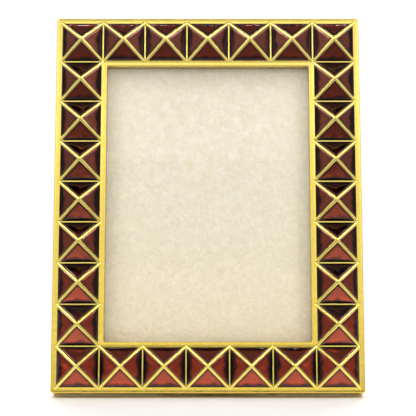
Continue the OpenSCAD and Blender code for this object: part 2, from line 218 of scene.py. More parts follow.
def leg_matrix():
    """Puts a piece of the leg on the hinge pin: x along it, y up the leg, z towards the frame."""
    pin = Vector(joint("leg_fold")["pos_m"])
    opened = math.radians(joint("leg_fold")["range_deg"][1])
    turned = Matrix.Rotation(opened, 4, "X") @ FACE.to_3x3().to_4x4()
    return Matrix.Translation(pin) @ turned


FACE = standing_matrix()
LEG = leg_matrix()
# Turns what is built round z to lie along x
ALONG_X = Matrix.Rotation(math.pi / 2, 4, "Y")


def amount(name, description, default, **options):
    return FloatProperty(name=name, description=description, default=default, **options)


def length(name, description, default):
    return amount(name, description, default, unit="LENGTH", precision=5)


def colour(name, description, default):
    return FloatVectorProperty(
        name=name, description=description, default=default, size=3, min=0, max=1, subtype="COLOR"
    )


def count(name, description, default):
    return IntProperty(name=name, description=description, default=default, min=1)


class BorderSizes(bpy.types.PropertyGroup):
    """Sizes of the casting and its grid of studs."""

    cols: count("Columns", "Studs across the top", 7)
    rows: count("Rows", "Studs up one side, corners included", 9)
    stud_w: length(
        "Stud width", "Width of a stud cell", middle("enamel_top_4").x - middle("enamel_top_3").x
    )
    stud_d: length(
        "Stud depth",
        "Height of one stud cell along the face",
        (middle("enamel_left_3") - middle("enamel_left_4")).length,
    )
    stud_h: length("Stud height", "Height of a stud's tip above the bars", 0.0078)
    outer_rim: length("Outer rim", "Width of the rim outside the stud cells", 0.00265)
    inner_rim: length("Inner rim", "Width from the stud cells to the window", 0.00265)
    rim_cover: length("Rim cover", "Width by which the rims cover the studs' edge", 0.0011)
    edge_round: length("Edge rounding", "Radius of the rims outside and at the window", 0.0005)
    track_round: length("Track rounding", "Radius of the rims beside the enamel", 0.0003)
    back_round: length("Back rounding", "Radius of the casting's rear edges", 0.0004)
    corner_r: length("Corner radius", "Radius of the four outer corners", 0.0014)
    inner_r: length("Window corner", "Radius of the window's corners", 0.0003)
    depth: length("Depth", "Depth of the casting behind the bars", 0.0135)
    ledge: length("Ledge depth", "Depth of the ledge that the glass rests on", 0.007)
    ledge_side: length("Side ledge", "Width of the ledge at the window's sides", 0.00265)
    ledge_end: length("End ledge", "Width of the ledge at the window's top and bottom", 0.0051)
    rebate_gap: length("Rebate gap", "Gap round the glass and panel", 0.0005)
    core_drop: length("Core depth", "Depth of the metal core under the enamel", 0.0015)


class LatticeSizes(bpy.types.PropertyGroup):
    """Sizes of the gold ridges, bars and tips."""

    ridge_w: length("Ridge width", "Full width of a ridge's round section", 0.0022)
    ridge_lift: length("Ridge lift", "Height of a ridge above where its facets meet", 0.0003)
    ridge_t: length("Ridge thickness", "Full thickness of a ridge's round section", 0.0016)
    ridge_foot: length("Ridge foot", "Depth of the ridges' feet below the bars", 0.0001)
    bar_w: length("Bar width", "Full width of a bar's round section", 0.0018)
    bar_t: length("Bar thickness", "Full thickness of a bar's round section", 0.0013)
    bar_tuck: length("Bar tuck", "Length of a bar's ends hidden in the rims", 0.0005)
    bead_w: length("Tip width", "Width of the cast bead on a stud's tip", 0.0021)
    bead_t: length("Tip thickness", "Thickness of that bead", 0.0011)
    wobble: length("Wobble", "How far the hand-finished wires stray sideways", 0.00009)
    ripple: length("Ripple length", "Length over which the wires stray", 0.004)
    seed: count("Seed", "Seed of the wires' wobble", 11)


class EnamelSizes(bpy.types.PropertyGroup):
    """Sizes of the enamel fills."""

    sink: length("Sink", "Depth of the enamel's lower edge below the bars", 0.00025)
    rise: length("Rise", "Swell of the enamel above the flat of its facet", 0.00045)
    base_band: length("Base band", "Width of the rounded band at a fill's base", 0.0026)
    # The dark bands are pooled enamel, widened and darkened as painted shade
    base_pool: length("Base pool", "Width of the dark band there, above and below a tip", 0.0034)
    base_deep: length("Deep pool", "Width of that band's darkest part", 0.001)
    # A painted glow
    foot_glow: amount("Foot glow", "Glow of the lowest studs' left and right fills", 0.7)
    # Painted shade over the side studs' tips
    shaded_pool: length("Shaded pool", "The dark band's width over the side studs' tips", 0.009)
    shaded_deep: length("Deep shaded pool", "Width of that band's darkest part", 0.0045)
    flank_pool: length("Flank pool", "Width of the dark band to a tip's left and right", 0.0042)
    flank_deep: length("Deep flank pool", "Width of that band's darkest part", 0.0021)
    side_band: length("Side band", "Width of the rounded band beside a ridge", 0.0011)
    side_pool: length("Side pool", "Width of the dark line beside a ridge", 0.0021)
    # A painted glowing arc in the dark band
    ember_w: length("Ember width", "Width of the glowing arc inside the dark band", 0.0011)
    bow: amount("Bow", "Share by which the bands beside a bar narrow at the corners", 0.6)
    bar_edge: length("Bar edge", "Distance of the fill's edge from a bar's middle", 0.00045)
    rim_edge: length("Rim edge", "Distance of the fill's edge from the cell's edge", 0.00065)
    ridge_edge: length("Ridge edge", "Distance of the fill's edge from a ridge's middle", 0.00075)
    wave: length("Wave", "Height of the slow waves left by firing", 0.00007)
    wave_size: length("Wave length", "Length of those waves", 0.0036)
    tilt: amount("Tilt", "Most that a fill's slope strays", 0.003)
    rings: count("Rings", "Rings of faces from a fill's edge to its middle", 10)
    steps: count("Steps", "Faces along one side of a ring", 9)
    seed: count("Seed", "Seed of the fills' differences", 5)


class BackSizes(bpy.types.PropertyGroup):
    """Sizes of the back panel, its buttons and the easel leg."""

    fabric_t: length("Fabric thickness", "Thickness of the velveteen", 0.0004)
    panel_t: length("Panel thickness", "Thickness of the covered panel", 0.0028)
    panel_round: length("Panel rounding", "Radius of the covered panel's edges", 0.0007)
    button_w: length("Button width", "Width of a turn button", 0.007)
    button_l: length("Button reach", "Reach of a turn button from its screw", 0.012)
    button_t: length("Button thickness", "Thickness of a turn button", 0.0012)
    button_out: length("Screw offset", "Distance from the rebate out to the screws", 0.0048)
    button_inset: length("Screw inset", "Distance from the panel's ends to the screws", 0.029)
    screw_r: length("Screw radius", "Radius of a button screw's shank", 0.0014)
    screw_l: length("Screw length", "Length of a button screw below its head", 0.0073)
    head_r: length("Screw head radius", "Radius of a button screw's head", 0.0028)
    head_t: length("Screw head height", "Height of a button screw's head", 0.0013)
    head_gap: length("Head gap", "Gap under and over a turn button", 0.0001)
    slot_w: length("Slot width", "Width of the slot in a screw's head", 0.0008)
    slot_t: length("Slot depth", "Depth of the slot in a screw's head", 0.0006)
    hinge_w: length("Hinge width", "Width of the hinge", 0.03)
    knuckle_w: length("Knuckle width", "Width of the leg's knuckle", 0.0116)
    knuckle_r: length("Knuckle radius", "Outer radius of the knuckles", 0.0024)
    knuckle_gap: length("Knuckle gap", "Gap between neighbouring knuckles", 0.0002)
    knuckle_lift: length("Knuckle lift", "Gap between the knuckles and the panel", 0.0003)
    leaf_t: length("Leaf thickness", "Thickness of both hinge leaves", 0.001)
    leaf_l: length("Leaf length", "Length of each leaf from the pin", 0.02)
    leaf_r: length("Leaf corner", "Radius of the leaves' far corners", 0.0016)
    notch_r: length("Notch corner", "Radius of the corners beside the leg's knuckle", 0.0004)
    fold_r: length("Fold corner", "Radius of the plate's corners at its knuckles", 0.0002)
    rivet_in: length("Rivet inset", "Distance from a leaf's end to its rivets", 0.005)
    rivet_side: length("Rivet side", "Distance from a leaf's side to its rivets", 0.006)
    rivet_r: length("Rivet radius", "Radius of a rivet's head", 0.002)
    rivet_t: length("Rivet height", "Height of a rivet's head", 0.0008)
    shank_r: length("Shank radius", "Radius of a rivet's shank", 0.0011)
    rivet_l: length("Rivet length", "Length of a panel rivet below its head", 0.003)
    tail_t: length("Tail height", "Height of a rivet's clinched tail", 0.0005)
    heel: length("Heel", "How far the leg's leaf runs past the pin to its stop", 0.0084788)
    pin_r: length("Pin end radius", "Radius of the hinge pin's upset ends", 0.0015)
    pin_t: length("Pin end length", "Length of each upset end", 0.0006)
    pin_gap: length("Pin gap", "Gap between the hinge and the pin's ends", 0.00005)
    leg_top_w: length("Leg top width", "Width of the leg at the hinge", 0.034)
    leg_foot_w: length("Leg foot width", "Width of the leg at the floor", 0.062)
    leg_t: length("Leg thickness", "Thickness of the covered leg", 0.0034)
    leg_reach: length("Leg reach", "Length of the leg from the pin to the floor", 0.144831)
    leg_gap: length("Leg gap", "Gap between the leg's top edge and the knuckles", 0.0006)
    leg_round: length("Leg rounding", "Radius of the covered leg's edges", 0.0012)
    leg_corner: length("Leg corner", "Radius of the covered leg's four corners", 0.002)
    edge_round: length("Metal rounding", "Radius of the brass pieces' edges", 0.0002)
    seed: count("Seed", "Seed of the screws' turns", 3)


class Finishes(bpy.types.PropertyGroup):
    """Colours of the surfaces."""

    gold: colour("Gold", "Bright gold plating", (0.95, 0.785, 0.27))
    # Also the plating's painted shade, towards its foot and in hollows
    gold_deep: colour("Deep gold", "Duller gold plating, as towards the foot", (0.88, 0.59, 0.025))
    garnet: colour("Garnet", "Enamel where it is thin", (0.57, 0.080, 0.021))
    # Also the painted shade in the dark bands
    garnet_deep: colour("Deep garnet", "Enamel where it has pooled", (0.030, 0.003, 0.002))
    # A painted greyish sheen on the left and right fills, strongest at the head
    haze: colour("Haze", "Enamel clouded to a tip's left and right", (0.52, 0.16, 0.10))
    # Colour of the painted glow
    ember: colour("Ember", "Enamel that glows inside the dark band", (0.82, 0.075, 0.010))
    gold_rubbed: colour("Rubbed gold", "Plating on edges polished by handling", (1.0, 0.76, 0.15))
    wire: colour("Wire gold", "The ridges and bars, polished after firing", (0.98, 0.81, 0.22))
    # Painted shade of the ridges and bars towards the foot
    wire_deep: colour("Wire gold at the foot", "The same near the foot", (0.96, 0.74, 0.11))
    paper: colour("Paper", "The bare insert", (0.91, 0.805, 0.66))
    # Painted light towards the insert's left and right, against the shade of the window's wall
    paper_pale: colour("Pale paper", "The insert towards its left and right", (1.0, 0.89, 0.71))
    paper_warm: colour("Warm paper", "The insert's warmer blotches", (0.95, 0.80, 0.55))
    paper_blush: colour("Paper blush", "The insert's faint pink blotches", (0.96, 0.82, 0.68))
    card: colour("Card", "The card behind the insert", (0.47, 0.39, 0.28))
    board: colour("Board", "The hidden boards", (0.30, 0.17, 0.08))
    velveteen: colour("Velveteen", "The fabric on the panel and leg", (0.022, 0.016, 0.014))
    brass: colour("Brass", "The plated fittings on the back", (0.84, 0.60, 0.19))
    floor: colour("Floor", "The pale floor", (0.96, 0.96, 0.955))


class StageSizes(bpy.types.PropertyGroup):
    """The camera and the lights."""

    lens: amount("Lens", "Focal length in mm on a 36 mm sensor", 141.15)
    distance: length("Camera distance", "From the camera to the window's middle", 0.9699)
    above: length("Camera shift up", "Height of the window's middle over the view's axis", 0.00398)
    aside: length("Camera shift right", "How far the camera lies to the right", 0.0001)
    pitch: amount("Pitch", "How far the camera looks down", math.radians(1.73), subtype="ANGLE")
    world: amount("World", "Brightness of the dark room", 0.01)
    horizon: amount("Horizon", "Brightness of the room's horizon", 1.0)
    band_low: amount("Band low", "Height at which the horizon starts to fade", 0.12)
    band_high: amount("Band high", "Height at which it has faded", 0.2)
    sweep: amount("Sweep", "Brightness of the sweep behind and above", 0.7)
    fill: amount("Fill", "Brightness of the room for matt surfaces", 0.25)
    floor_near: length("Floor near", "Distance off the footprint where the fade starts", 0.004)
    floor_far: length("Floor far", "Distance at which the floor has faded to white", 0.2)
    card_near: length("Card near", "Distance at which the dark cards start", 0.055)
    card_far: length("Card far", "Distance at which they are darkest", 0.19)
    card_share: amount("Card share", "How much of the floor the front card hides", 0.84)
    rear_share: amount("Rear card share", "The same of the card behind", 0.6)
    dome: length("Lamp distance", "Distance of the lamps from the frame", 1.3)
    dome_z: length("Lamp height", "Height of the point that the lamps are aimed at", 0.1)


def settings(name):
    """The property group of that name on the scene."""
    return getattr(bpy.context.scene, PREFIX + "_" + name)


def shown(name, mesh):
    """A new object of the scene."""
    made = bpy.data.objects.new(name, mesh)
    bpy.context.scene.collection.objects.link(made)
    return made


def new_piece(name, mesh, body, node, material=None):
    """Puts a finished mesh in the scene as a piece that rides on a body and replaces a node."""
    piece = shown(name, mesh)
    if material:
        mesh.materials.clear()
        mesh.materials.append(material)
    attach(piece, body)
    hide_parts(node)
    return piece


def brass_piece(name, shape, place, body, node):
    """Puts a bmesh in the scene as one of the brass fittings."""
    mesh = finished_mesh(name, shape, place)
    new_piece(name, mesh, body, node, finish("plated_brass"))


def finished_mesh(name, shape, place=Matrix(), sharp=SHARP, outwards=True):
    """A smooth mesh from a bmesh, stood in its place, with edges over sharp degrees kept."""
    if outwards:
        bmesh.ops.recalc_face_normals(shape, faces=shape.faces)
    mesh = bpy.data.meshes.new(name)
    shape.to_mesh(mesh)
    shape.free()
    mesh.transform(place)
    mesh.shade_smooth()
    mesh.set_sharp_from_angle(angle=math.radians(sharp))
    return mesh


def evaluated_mesh(source):
    """The mesh that an object's modifiers make."""
    bpy.context.view_layer.update()
    graph = bpy.context.evaluated_depsgraph_get()
    return bpy.data.meshes.new_from_object(source.evaluated_get(graph), depsgraph=graph)


def skin_rings(shape, rings, closed=False):
    """Joins rings of as many points into a surface; closed also joins the last to the first."""
    made = [[shape.verts.new(point) for point in ring] for ring in rings]
    size = len(made[0])
    pairs = list(zip(made, made[1:])) + ([(made[-1], made[0])] if closed else [])
    for low, high in pairs:
        for i in range(size):
            j = (i + 1) % size
            shape.faces.new((low[i], low[j], high[j], high[i]))
    return made


def cap(shape, ring, centre=None):
    """Closes a ring of vertices with a fan round its middle or a given centre; returns that."""
    if centre is None:
        centre = sum((v.co for v in ring), Vector()) / len(ring)
    hub = shape.verts.new(centre)
    for i, vertex in enumerate(ring):
        shape.faces.new((vertex, ring[(i + 1) % len(ring)], hub))
    return hub


def capped_skin(shape, rings):
    """Joins rings of points into a closed body; returns its rings and its last cap's middle."""
    made = skin_rings(shape, rings)
    cap(shape, made[0])
    return made, cap(shape, made[-1])


def arc(start, end, steps):
    """Angles in radians from start to end degrees."""
    return [math.radians(start + (end - start) * k / steps) for k in range(steps + 1)]


def rectangle_ring(half_w, half_d, radius, z, steps=5):
    """A rectangle with round corners at height z, as a ring of points."""
    ring = []
    for corner, (side, end) in enumerate(CORNERS):
        for turn in arc(90 * corner, 90 * corner + 90, steps):
            x = side * (half_w - radius) + radius * math.cos(turn)
            y = end * (half_d - radius) + radius * math.sin(turn)
            ring.append(Vector((x, y, z)))
    return ring


def inset(outline, distance):
    """A closed outline moved inwards along its corners' middle lines."""
    moved = []
    for i, point in enumerate(outline):
        before = (point - outline[i - 1]).normalized()
        after = (outline[(i + 1) % len(outline)] - point).normalized()
        inward = Vector((-before.y - after.y, before.x + after.x))
        share = max(inward.length_squared / 2, 0.1)
        moved.append(point + inward * (distance / share))
    return moved


def rounded_prism(shape, outline, low, high, radius, steps=3):
    """A plate with rounded edges: outline holds its plan, low and high its faces' heights."""
    bend = [(radius * (1 - math.sin(t)), radius * (1 - math.cos(t))) for t in arc(0, 90, steps)]
    levels = [(across, low + along) for across, along in bend]
    levels += [(along, high - across) for across, along in bend]
    capped_skin(
        shape, [[Vector((p.x, p.y, z)) for p in inset(outline, far)] for far, z in levels]
    )


def lathe(shape, profile, place, steps=32):
    """Turns a profile of (radius, height) points round z; its ends are on the axis."""
    turns = arc(0, 360 - 360 / steps, steps - 1)
    made = skin_rings(
        shape,
        [
            [place @ Vector((r * math.cos(t), r * math.sin(t), z)) for t in turns]
            for r, z in profile[1:-1]
        ],
    )
    for (_, z), ring in ((profile[0], made[0]), (profile[-1], made[-1])):
        cap(shape, ring, place @ Vector((0, 0, z)))


def rounded_polygon(corners, radii, steps=4):
    """An outline with each corner rounded by its own radius."""
    corners = [Vector(corner) for corner in corners]
    outline = []
    for i, (corner, radius) in enumerate(zip(corners, radii)):
        before = (corners[i - 1] - corner).normalized()
        after = (corners[(i + 1) % len(corners)] - corner).normalized()
        half = before.angle(after) / 2
        start = corner + before * (radius / math.tan(half))
        end = corner + after * (radius / math.tan(half))
        centre = corner + (before + after).normalized() * (radius / math.sin(half))
        for k in range(steps + 1):
            direction = (start - centre).lerp(end - centre, k / steps).normalized()
            outline.append(centre + direction * radius)
    return outline


def fill_input(tree, socket, value):
    """Links a socket to another, or sets its value; a colour's first three numbers will do."""
    if isinstance(value, bpy.types.NodeSocket):
        tree.links.new(value, socket)
    elif socket.type == "RGBA":
        socket.default_value = (*value, 1.0)[:4]
    else:
        socket.default_value = value


def add_node(tree, kind, inputs=None, **options):
    """Adds a node, sets its options, and fills its inputs with values or links."""
    made = tree.nodes.new(kind)
    for option, value in options.items():
        setattr(made, option, value)
    for key, value in (inputs or {}).items():
        fill_input(tree, made.inputs[key], value)
    return made


def result_of(tree, kind, inputs=None, **options):
    """The first output of a new node."""
    return add_node(tree, kind, inputs, **options).outputs[0]


def calculate(tree, operation, a, b=0.0, clamp=False):
    """A Math node's result."""
    return result_of(tree, "ShaderNodeMath", {0: a, 1: b}, operation=operation, use_clamp=clamp)


def times(tree, a, b, clamp=False):
    """The product of two numbers or links."""
    return calculate(tree, "MULTIPLY", a, b, clamp)


def minus(tree, a, b):
    """The difference of two numbers or links."""
    return calculate(tree, "SUBTRACT", a, b)


def vector_math(tree, operation, a, b=(0, 0, 0)):
    """A Vector Math node's result; b is the number to scale by if the operation scales."""
    second = "Scale" if operation == "SCALE" else 1
    made = add_node(tree, "ShaderNodeVectorMath", {0: a, second: b}, operation=operation)
    return made.outputs["Value" if operation == "LENGTH" else "Vector"]


def vector(tree, x=0.0, y=0.0, z=0.0):
    """A vector of three numbers or links."""
    return result_of(tree, "ShaderNodeCombineXYZ", {0: x, 1: y, 2: z})


def part_of(tree, value, axis):
    """A vector's share along axis 0, 1 or 2."""
    return add_node(tree, "ShaderNodeSeparateXYZ", {0: value}).outputs[axis]


def mix(tree, share, first, second, numbers=False):
    """A colour between two others, or a number between two others."""
    kind, start, result = ("FLOAT", 2, 0) if numbers else ("RGBA", 6, 2)
    given = {0: share, start: first, start + 1: second}
    return add_node(tree, "ShaderNodeMix", given, data_type=kind).outputs[result]


def spread_out(tree, value, low, high, to_low=0.0, to_high=1.0):
    """Stretches the range from low to high over another range, and clamps what lies outside."""
    given = {"Value": value, "From Min": low, "From Max": high, "To Min": to_low, "To Max": to_high}
    return result_of(tree, "ShaderNodeMapRange", given)


def clouds_of(tree, place, scale, detail, **more):
    """A noise texture's grey value."""
    given = {"Vector": place, "Scale": scale, "Detail": detail, **more}
    return result_of(tree, "ShaderNodeTexNoise", given)


def mark_of(tree, name):
    """The number that the mesh's points carry under a name."""
    return add_node(tree, "ShaderNodeAttribute", attribute_name=name).outputs["Fac"]


def new_group(name, kind, inputs, fill):
    """A node group: each named input has a sort and a default, and fill makes its outputs."""
    tree = bpy.data.node_groups.new(name, kind)
    for socket, (sort, default) in inputs.items():
        made = tree.interface.new_socket(socket, in_out="INPUT", socket_type="NodeSocket" + sort)
        if default is not None:
            made.default_value = default
    outputs = fill(tree, tree.nodes.new("NodeGroupInput").outputs)
    end = tree.nodes.new("NodeGroupOutput")
    for socket, source in outputs.items():
        sort = "NodeSocket" + OUTPUT_SORTS[source.type]
        tree.interface.new_socket(socket, in_out="OUTPUT", socket_type=sort)
        tree.links.new(source, end.inputs[socket])
    return tree


def fine_grain(tree, given):
    """Fine grain of a surface: a height for bumps and a mask for changes of gloss."""
    fine = clouds_of(tree, given["Vector"], given["Scale"], 3.0)
    coarse = clouds_of(tree, given["Vector"], times(tree, given["Scale"], 0.2), 3.0)
    return {"Height": fine, "Mask": spread_out(tree, coarse, 0.35, 0.65)}


def soft_mottle(tree, given):
    """Slow clouds that mix two colours."""
    clouds = clouds_of(tree, given["Vector"], given["Scale"], 4.0, Distortion=0.6)
    mask = spread_out(tree, clouds, 0.34, 0.66)
    return {"Color": mix(tree, mask, given["First"], given["Second"]), "Mask": mask}


def rubbed_edges(tree, given):
    """Rubbed edges: where a piece's own edges are marked, broken up by a little noise."""
    rough = clouds_of(tree, given["Vector"], given["Scale"], 2.0)
    broken = spread_out(tree, rough, 0.3, 0.6, 0.55, 1.0)
    return {"Mask": times(tree, mark_of(tree, "edge"), broken, True)}


# The groups that materials share: what fills each, its usual scale, and the colours it takes
SHADER_GROUPS = {
    "Fine grain": (fine_grain, 1500.0, ()),
    "Soft mottle": (soft_mottle, 60.0, ("First", "Second")),
    "Rubbed edges": (rubbed_edges, 400.0, ()),
}


def shader_group(name):
    """The shared group of that name, built the first time that it is asked for."""
    fill, scale, colours = SHADER_GROUPS[name]
    inputs = {"Vector": ("Vector", None), "Scale": ("Float", scale)}
    inputs.update({key: ("Color", None) for key in colours})
    return bpy.data.node_groups.get(name) or new_group(name, "ShaderNodeTree", inputs, fill)


def scaled(tone, share):
    """A colour made darker or brighter by a share."""
    return [part * share for part in tone]


class Finish:
    """A new material: its tree, its Principled shader and the piece's own coordinates."""

    def __init__(self, name, **values):
        self.material = bpy.data.materials.new(name)
        self.material.use_nodes = True
        self.tree = self.material.node_tree
        self.tree.nodes.clear()
        self.shader = add_node(self.tree, "ShaderNodeBsdfPrincipled")
        self.output = add_node(self.tree, "ShaderNodeOutputMaterial")
        self.tree.links.new(self.shader.outputs[0], self.output.inputs["Surface"])
        self.place = add_node(self.tree, "ShaderNodeTexCoord").outputs["Object"]
        self.fill(**values)

    def fill(self, **values):
        """Gives the shader's inputs values or links; their names have _ for each space."""
        for socket, value in values.items():
            fill_input(self.tree, self.shader.inputs[socket.replace("_", " ")], value)

    def satin(self, mask, low, high):
        """Lets the roughness go from low to high with a mask."""
        self.fill(Roughness=spread_out(self.tree, mask, 0.0, 1.0, low, high))

    def replace(self, share, shader):
        """Shows another shader in this one's place where share is 1."""
        given = {0: share, 1: self.shader.outputs[0], 2: shader}
        both = result_of(self.tree, "ShaderNodeMixShader", given)
        self.tree.links.new(both, self.output.inputs["Surface"])

    def grouped(self, name, scale, **more):
        """Places a shared node group; returns its outputs."""
        given = {"Vector": self.place, "Scale": scale, **more}
        group = shader_group(name)
        return add_node(self.tree, "ShaderNodeGroup", given, node_tree=group).outputs

    def mottle(self, scale, first, second):
        """Soft clouds of two colours: their colour and mask."""
        return self.grouped("Soft mottle", scale, First=first, Second=second).values()

    def grain(self, scale):
        """Fine grain: its height and mask."""
        return self.grouped("Fine grain", scale).values()

    def bump(self, height, depth, **normal):
        """A bump of that many metres; returns its normal."""
        given = {"Height": height, "Strength": 1.0, "Distance": depth, **normal}
        return result_of(self.tree, "ShaderNodeBump", given)


def plated_metal(name, bright, dull_and_shade, worn, gloss, grain_scale, grain_depth):
    """Satin plating: clouded, grainy, painted shade low down and in hollows, rubbed edges paler and
    glossier.
    """
    colours = settings("finishes")
    bright, dull_and_shade, worn = (getattr(colours, key) for key in (bright, dull_and_shade, worn))
    made = Finish(name, Metallic=1.0, Coat_Weight=0.3, Coat_Roughness=0.3, Coat_IOR=1.5)
    tree = made.tree
    clouds, _ = made.mottle(70.0, bright, [(a + b) / 2 for a, b in zip(bright, dull_and_shade)])
    # Painted shade: the plating deepens to its dull colour towards the foot
    foot = spread_out(tree, part_of(tree, made.place, 2), PAINTED_SHADE_FULL, PAINTED_SHADE_GONE, 1.0, 0.0)
    foot_shaded = mix(tree, foot, clouds, dull_and_shade)
    # Painted shade in the window's hollow, where the edge mark is negative
    painted_hollow_shade = times(tree, mark_of(tree, "edge"), -1.0, True)
    hollow_shaded = mix(tree, painted_hollow_shade, foot_shaded, scaled(dull_and_shade, HOLLOW_PAINTED_SHADE))
    rubbed = made.grouped("Rubbed edges", 350.0)["Mask"]
    grit, streaks = made.grain(grain_scale)
    satin = spread_out(tree, streaks, 0.0, 1.0, gloss, gloss + STREAK_GLOSS)
    made.fill(
        Base_Color=mix(tree, times(tree, rubbed, RUB_SHARE), hollow_shaded, worn),
        Roughness=minus(tree, satin, times(tree, rubbed, RUB_GLOSS)),
        Normal=made.bump(grit, grain_depth),
    )


def fired_garnet(name):
    """Translucent enamel over bright metal: darker where pooled and in painted shade, with painted
    glow and sheen, under a hard gloss.
    """
    colours = settings("finishes")
    made = Finish(name, Metallic=1.0, Coat_Weight=1.0, Coat_Roughness=0.03, Coat_IOR=1.5)
    tree = made.tree
    marks = {mark: mark_of(tree, mark) for mark in ENAMEL_MARKS}
    tone, mask = made.mottle(170.0, colours.garnet, scaled(colours.garnet, 0.62))
    height, specks = made.grain(4200.0)
    dim = scaled(colours.garnet, 0.66)
    # Over the random tone: painted sheen, painted glow, then pooled enamel and painted shade
    for share, second in (
        (specks, dim),
        (marks["tone"], dim),
        (marks["haze"], colours.haze),
        (marks["ember"], colours.ember),
        (marks["pool"], colours.garnet_deep),
    ):
        tone = mix(tree, share, tone, second)
    made.fill(Base_Color=tone, Normal=made.bump(height, 0.000004))
    made.satin(mask, 0.09, 0.15)


def bare_paper(name):
    """Bare handmade paper: clouded, warmer towards its foot, finely crumpled, with painted light at
    its left and right.
    """
    colours = settings("finishes")
    made = Finish(name)
    tree = made.tree
    warm = colours.paper_warm
    clouds, _ = made.mottle(42.0, colours.paper, colours.paper_blush)
    fair = [a * b for a, b in zip(colours.paper, (1.08, 1.1, 1.16))]
    pale, _ = made.mottle(190.0, scaled(warm, 0.93), fair)
    # Painted light: paler towards the left and right
    across = calculate(tree, "ABSOLUTE", part_of(tree, made.place, 0))
    sides = spread_out(tree, across, 0.025, 0.06, 0.0, 0.75)
    foot = spread_out(tree, part_of(tree, made.place, 2), 0.03, 0.12, 0.75, 0.0)
    folds = clouds_of(tree, made.place, 260.0, 5.0, Roughness=0.66, Distortion=1.4)
    tone = mix(tree, 0.5, clouds, pale)
    for share, second in (
        (sides, colours.paper_pale),
        (foot, warm),
        (spread_out(tree, folds, 0.38, 0.6, 0.0, 0.2), scaled(warm, 0.55)),
    ):
        tone = mix(tree, share, tone, second)
    grain, mask = made.grain(1500.0)
    made.fill(Base_Color=tone, Normal=made.bump(grain, 0.00004, Normal=made.bump(folds, 0.0008)))
    made.satin(mask, 0.66, 0.8)


def flat_glass(name):
    """Flat glass, which lets the lamps' light and the light of matt surfaces straight through."""
    made = Finish(name, Metallic=0.0, Roughness=0.0, IOR=1.5, Transmission_Weight=1.0)
    made.fill(Base_Color=(0.985, 1.0, 0.99))
    rays = add_node(made.tree, "ShaderNodeLightPath").outputs
    straight = calculate(made.tree, "MAXIMUM", rays["Is Shadow Ray"], rays["Is Diffuse Ray"])
    clear = {"Color": (0.95, 0.97, 0.96)}
    made.replace(straight, result_of(made.tree, "ShaderNodeBsdfTransparent", clear))


def matt_board(name, key, shade, cloud_scale, grain_scale, grain_depth, *roughness):
    """Plain card or pressed board, clouded and grainy."""
    tone = getattr(settings("finishes"), key)
    made = Finish(name)
    clouds, mask = made.mottle(cloud_scale, tone, scaled(tone, shade))
    height, _ = made.grain(grain_scale)
    made.fill(Base_Color=clouds, Normal=made.bump(height, grain_depth))
    made.satin(mask, *roughness)


def short_velveteen(name):
    """Short-pile cotton: fine pile over a weave, with brushed patches and a soft sheen."""
    tone = settings("finishes").velveteen
    made = Finish(name, Sheen_Weight=0.6, Sheen_Roughness=0.35, Specular_IOR_Level=0.2)
    made.fill(Sheen_Tint=(0.62, 0.55, 0.52))
    tree = made.tree
    brushed, patches = made.mottle(45.0, tone, scaled(tone, 1.9))
    threads = {"Vector": made.place, "Scale": 2300.0, "Randomness": 0.45}
    weave = add_node(tree, "ShaderNodeTexVoronoi", threads).outputs["Distance"]
    pile, _ = made.grain(3000.0)
    made.fill(
        Base_Color=mix(tree, spread_out(tree, weave, 0.0, 0.8, 0.0, 0.6), brushed, tone),
        Normal=made.bump(pile, 0.00008, Normal=made.bump(weave, 0.00012)),
    )
    made.satin(patches, 0.84, 0.98)


# Each material's maker and what it takes: for plating its bright, dull and rubbed colours,
# roughness, and the scale and depth of its grain; for boards their colour, how dark their clouds
# are, the scales of clouds and grain, the grain's depth, and both ends of the roughness
FINISHES = {
    # A plating's dull colour also serves as its painted shade towards the foot and in hollows
    "plated_gold": (plated_metal, "gold", "gold_deep", "gold_rubbed", 0.26, 1500.0, 0.000008),
    "polished_gold": (plated_metal, "wire", "wire_deep", "wire", 0.22, 1500.0, 0.000006),
    "plated_brass": (plated_metal, "brass", "gold_deep", "gold_rubbed", 0.24, 2200.0, 0.000006),
    "fired_garnet": (fired_garnet,),
    "bare_paper": (bare_paper,),
    "flat_glass": (flat_glass,),
    "grey_card": (matt_board, "card", 0.82, 120.0, 1800.0, 0.00003, 0.82, 0.94),
    "pressed_board": (matt_board, "board", 0.7, 240.0, 1400.0, 0.00005, 0.78, 0.92),
    "short_velveteen": (short_velveteen,),
}


def finish(name):
    """The material of that name, made the first time that it is asked for."""
    if name not in bpy.data.materials:
        maker, *values = FINISHES[name]
        maker(name, *values)
    return bpy.data.materials[name]


class Contour:
    """One rectangle of the casting, from which its section's points are measured outwards."""

    def __init__(self, half_w, half_d, corner):
        self.half_w = half_w
        self.half_d = half_d
        self.corner = corner

    def grown_by(self, across, along, corner):
        return Contour(self.half_w + across, self.half_d + along, corner)

    def at(self, out, z, polish=0.0):
        """A ring that far out, as its points and their share of rubbing, or of painted shade where
        negative.
        """
        radius = max(self.corner + out, TINY)
        return rectangle_ring(self.half_w + out, self.half_d + out, radius, z), polish

    def rounding(self, side, z, radius, start, end, steps=4):
        """Rings round an edge centred radius from the contour, outside it if side is 1."""
        return [
            self.at(radius * (side + math.cos(t)), z + radius * math.sin(t), 1.0)
            for t in arc(start, end, steps)
        ]


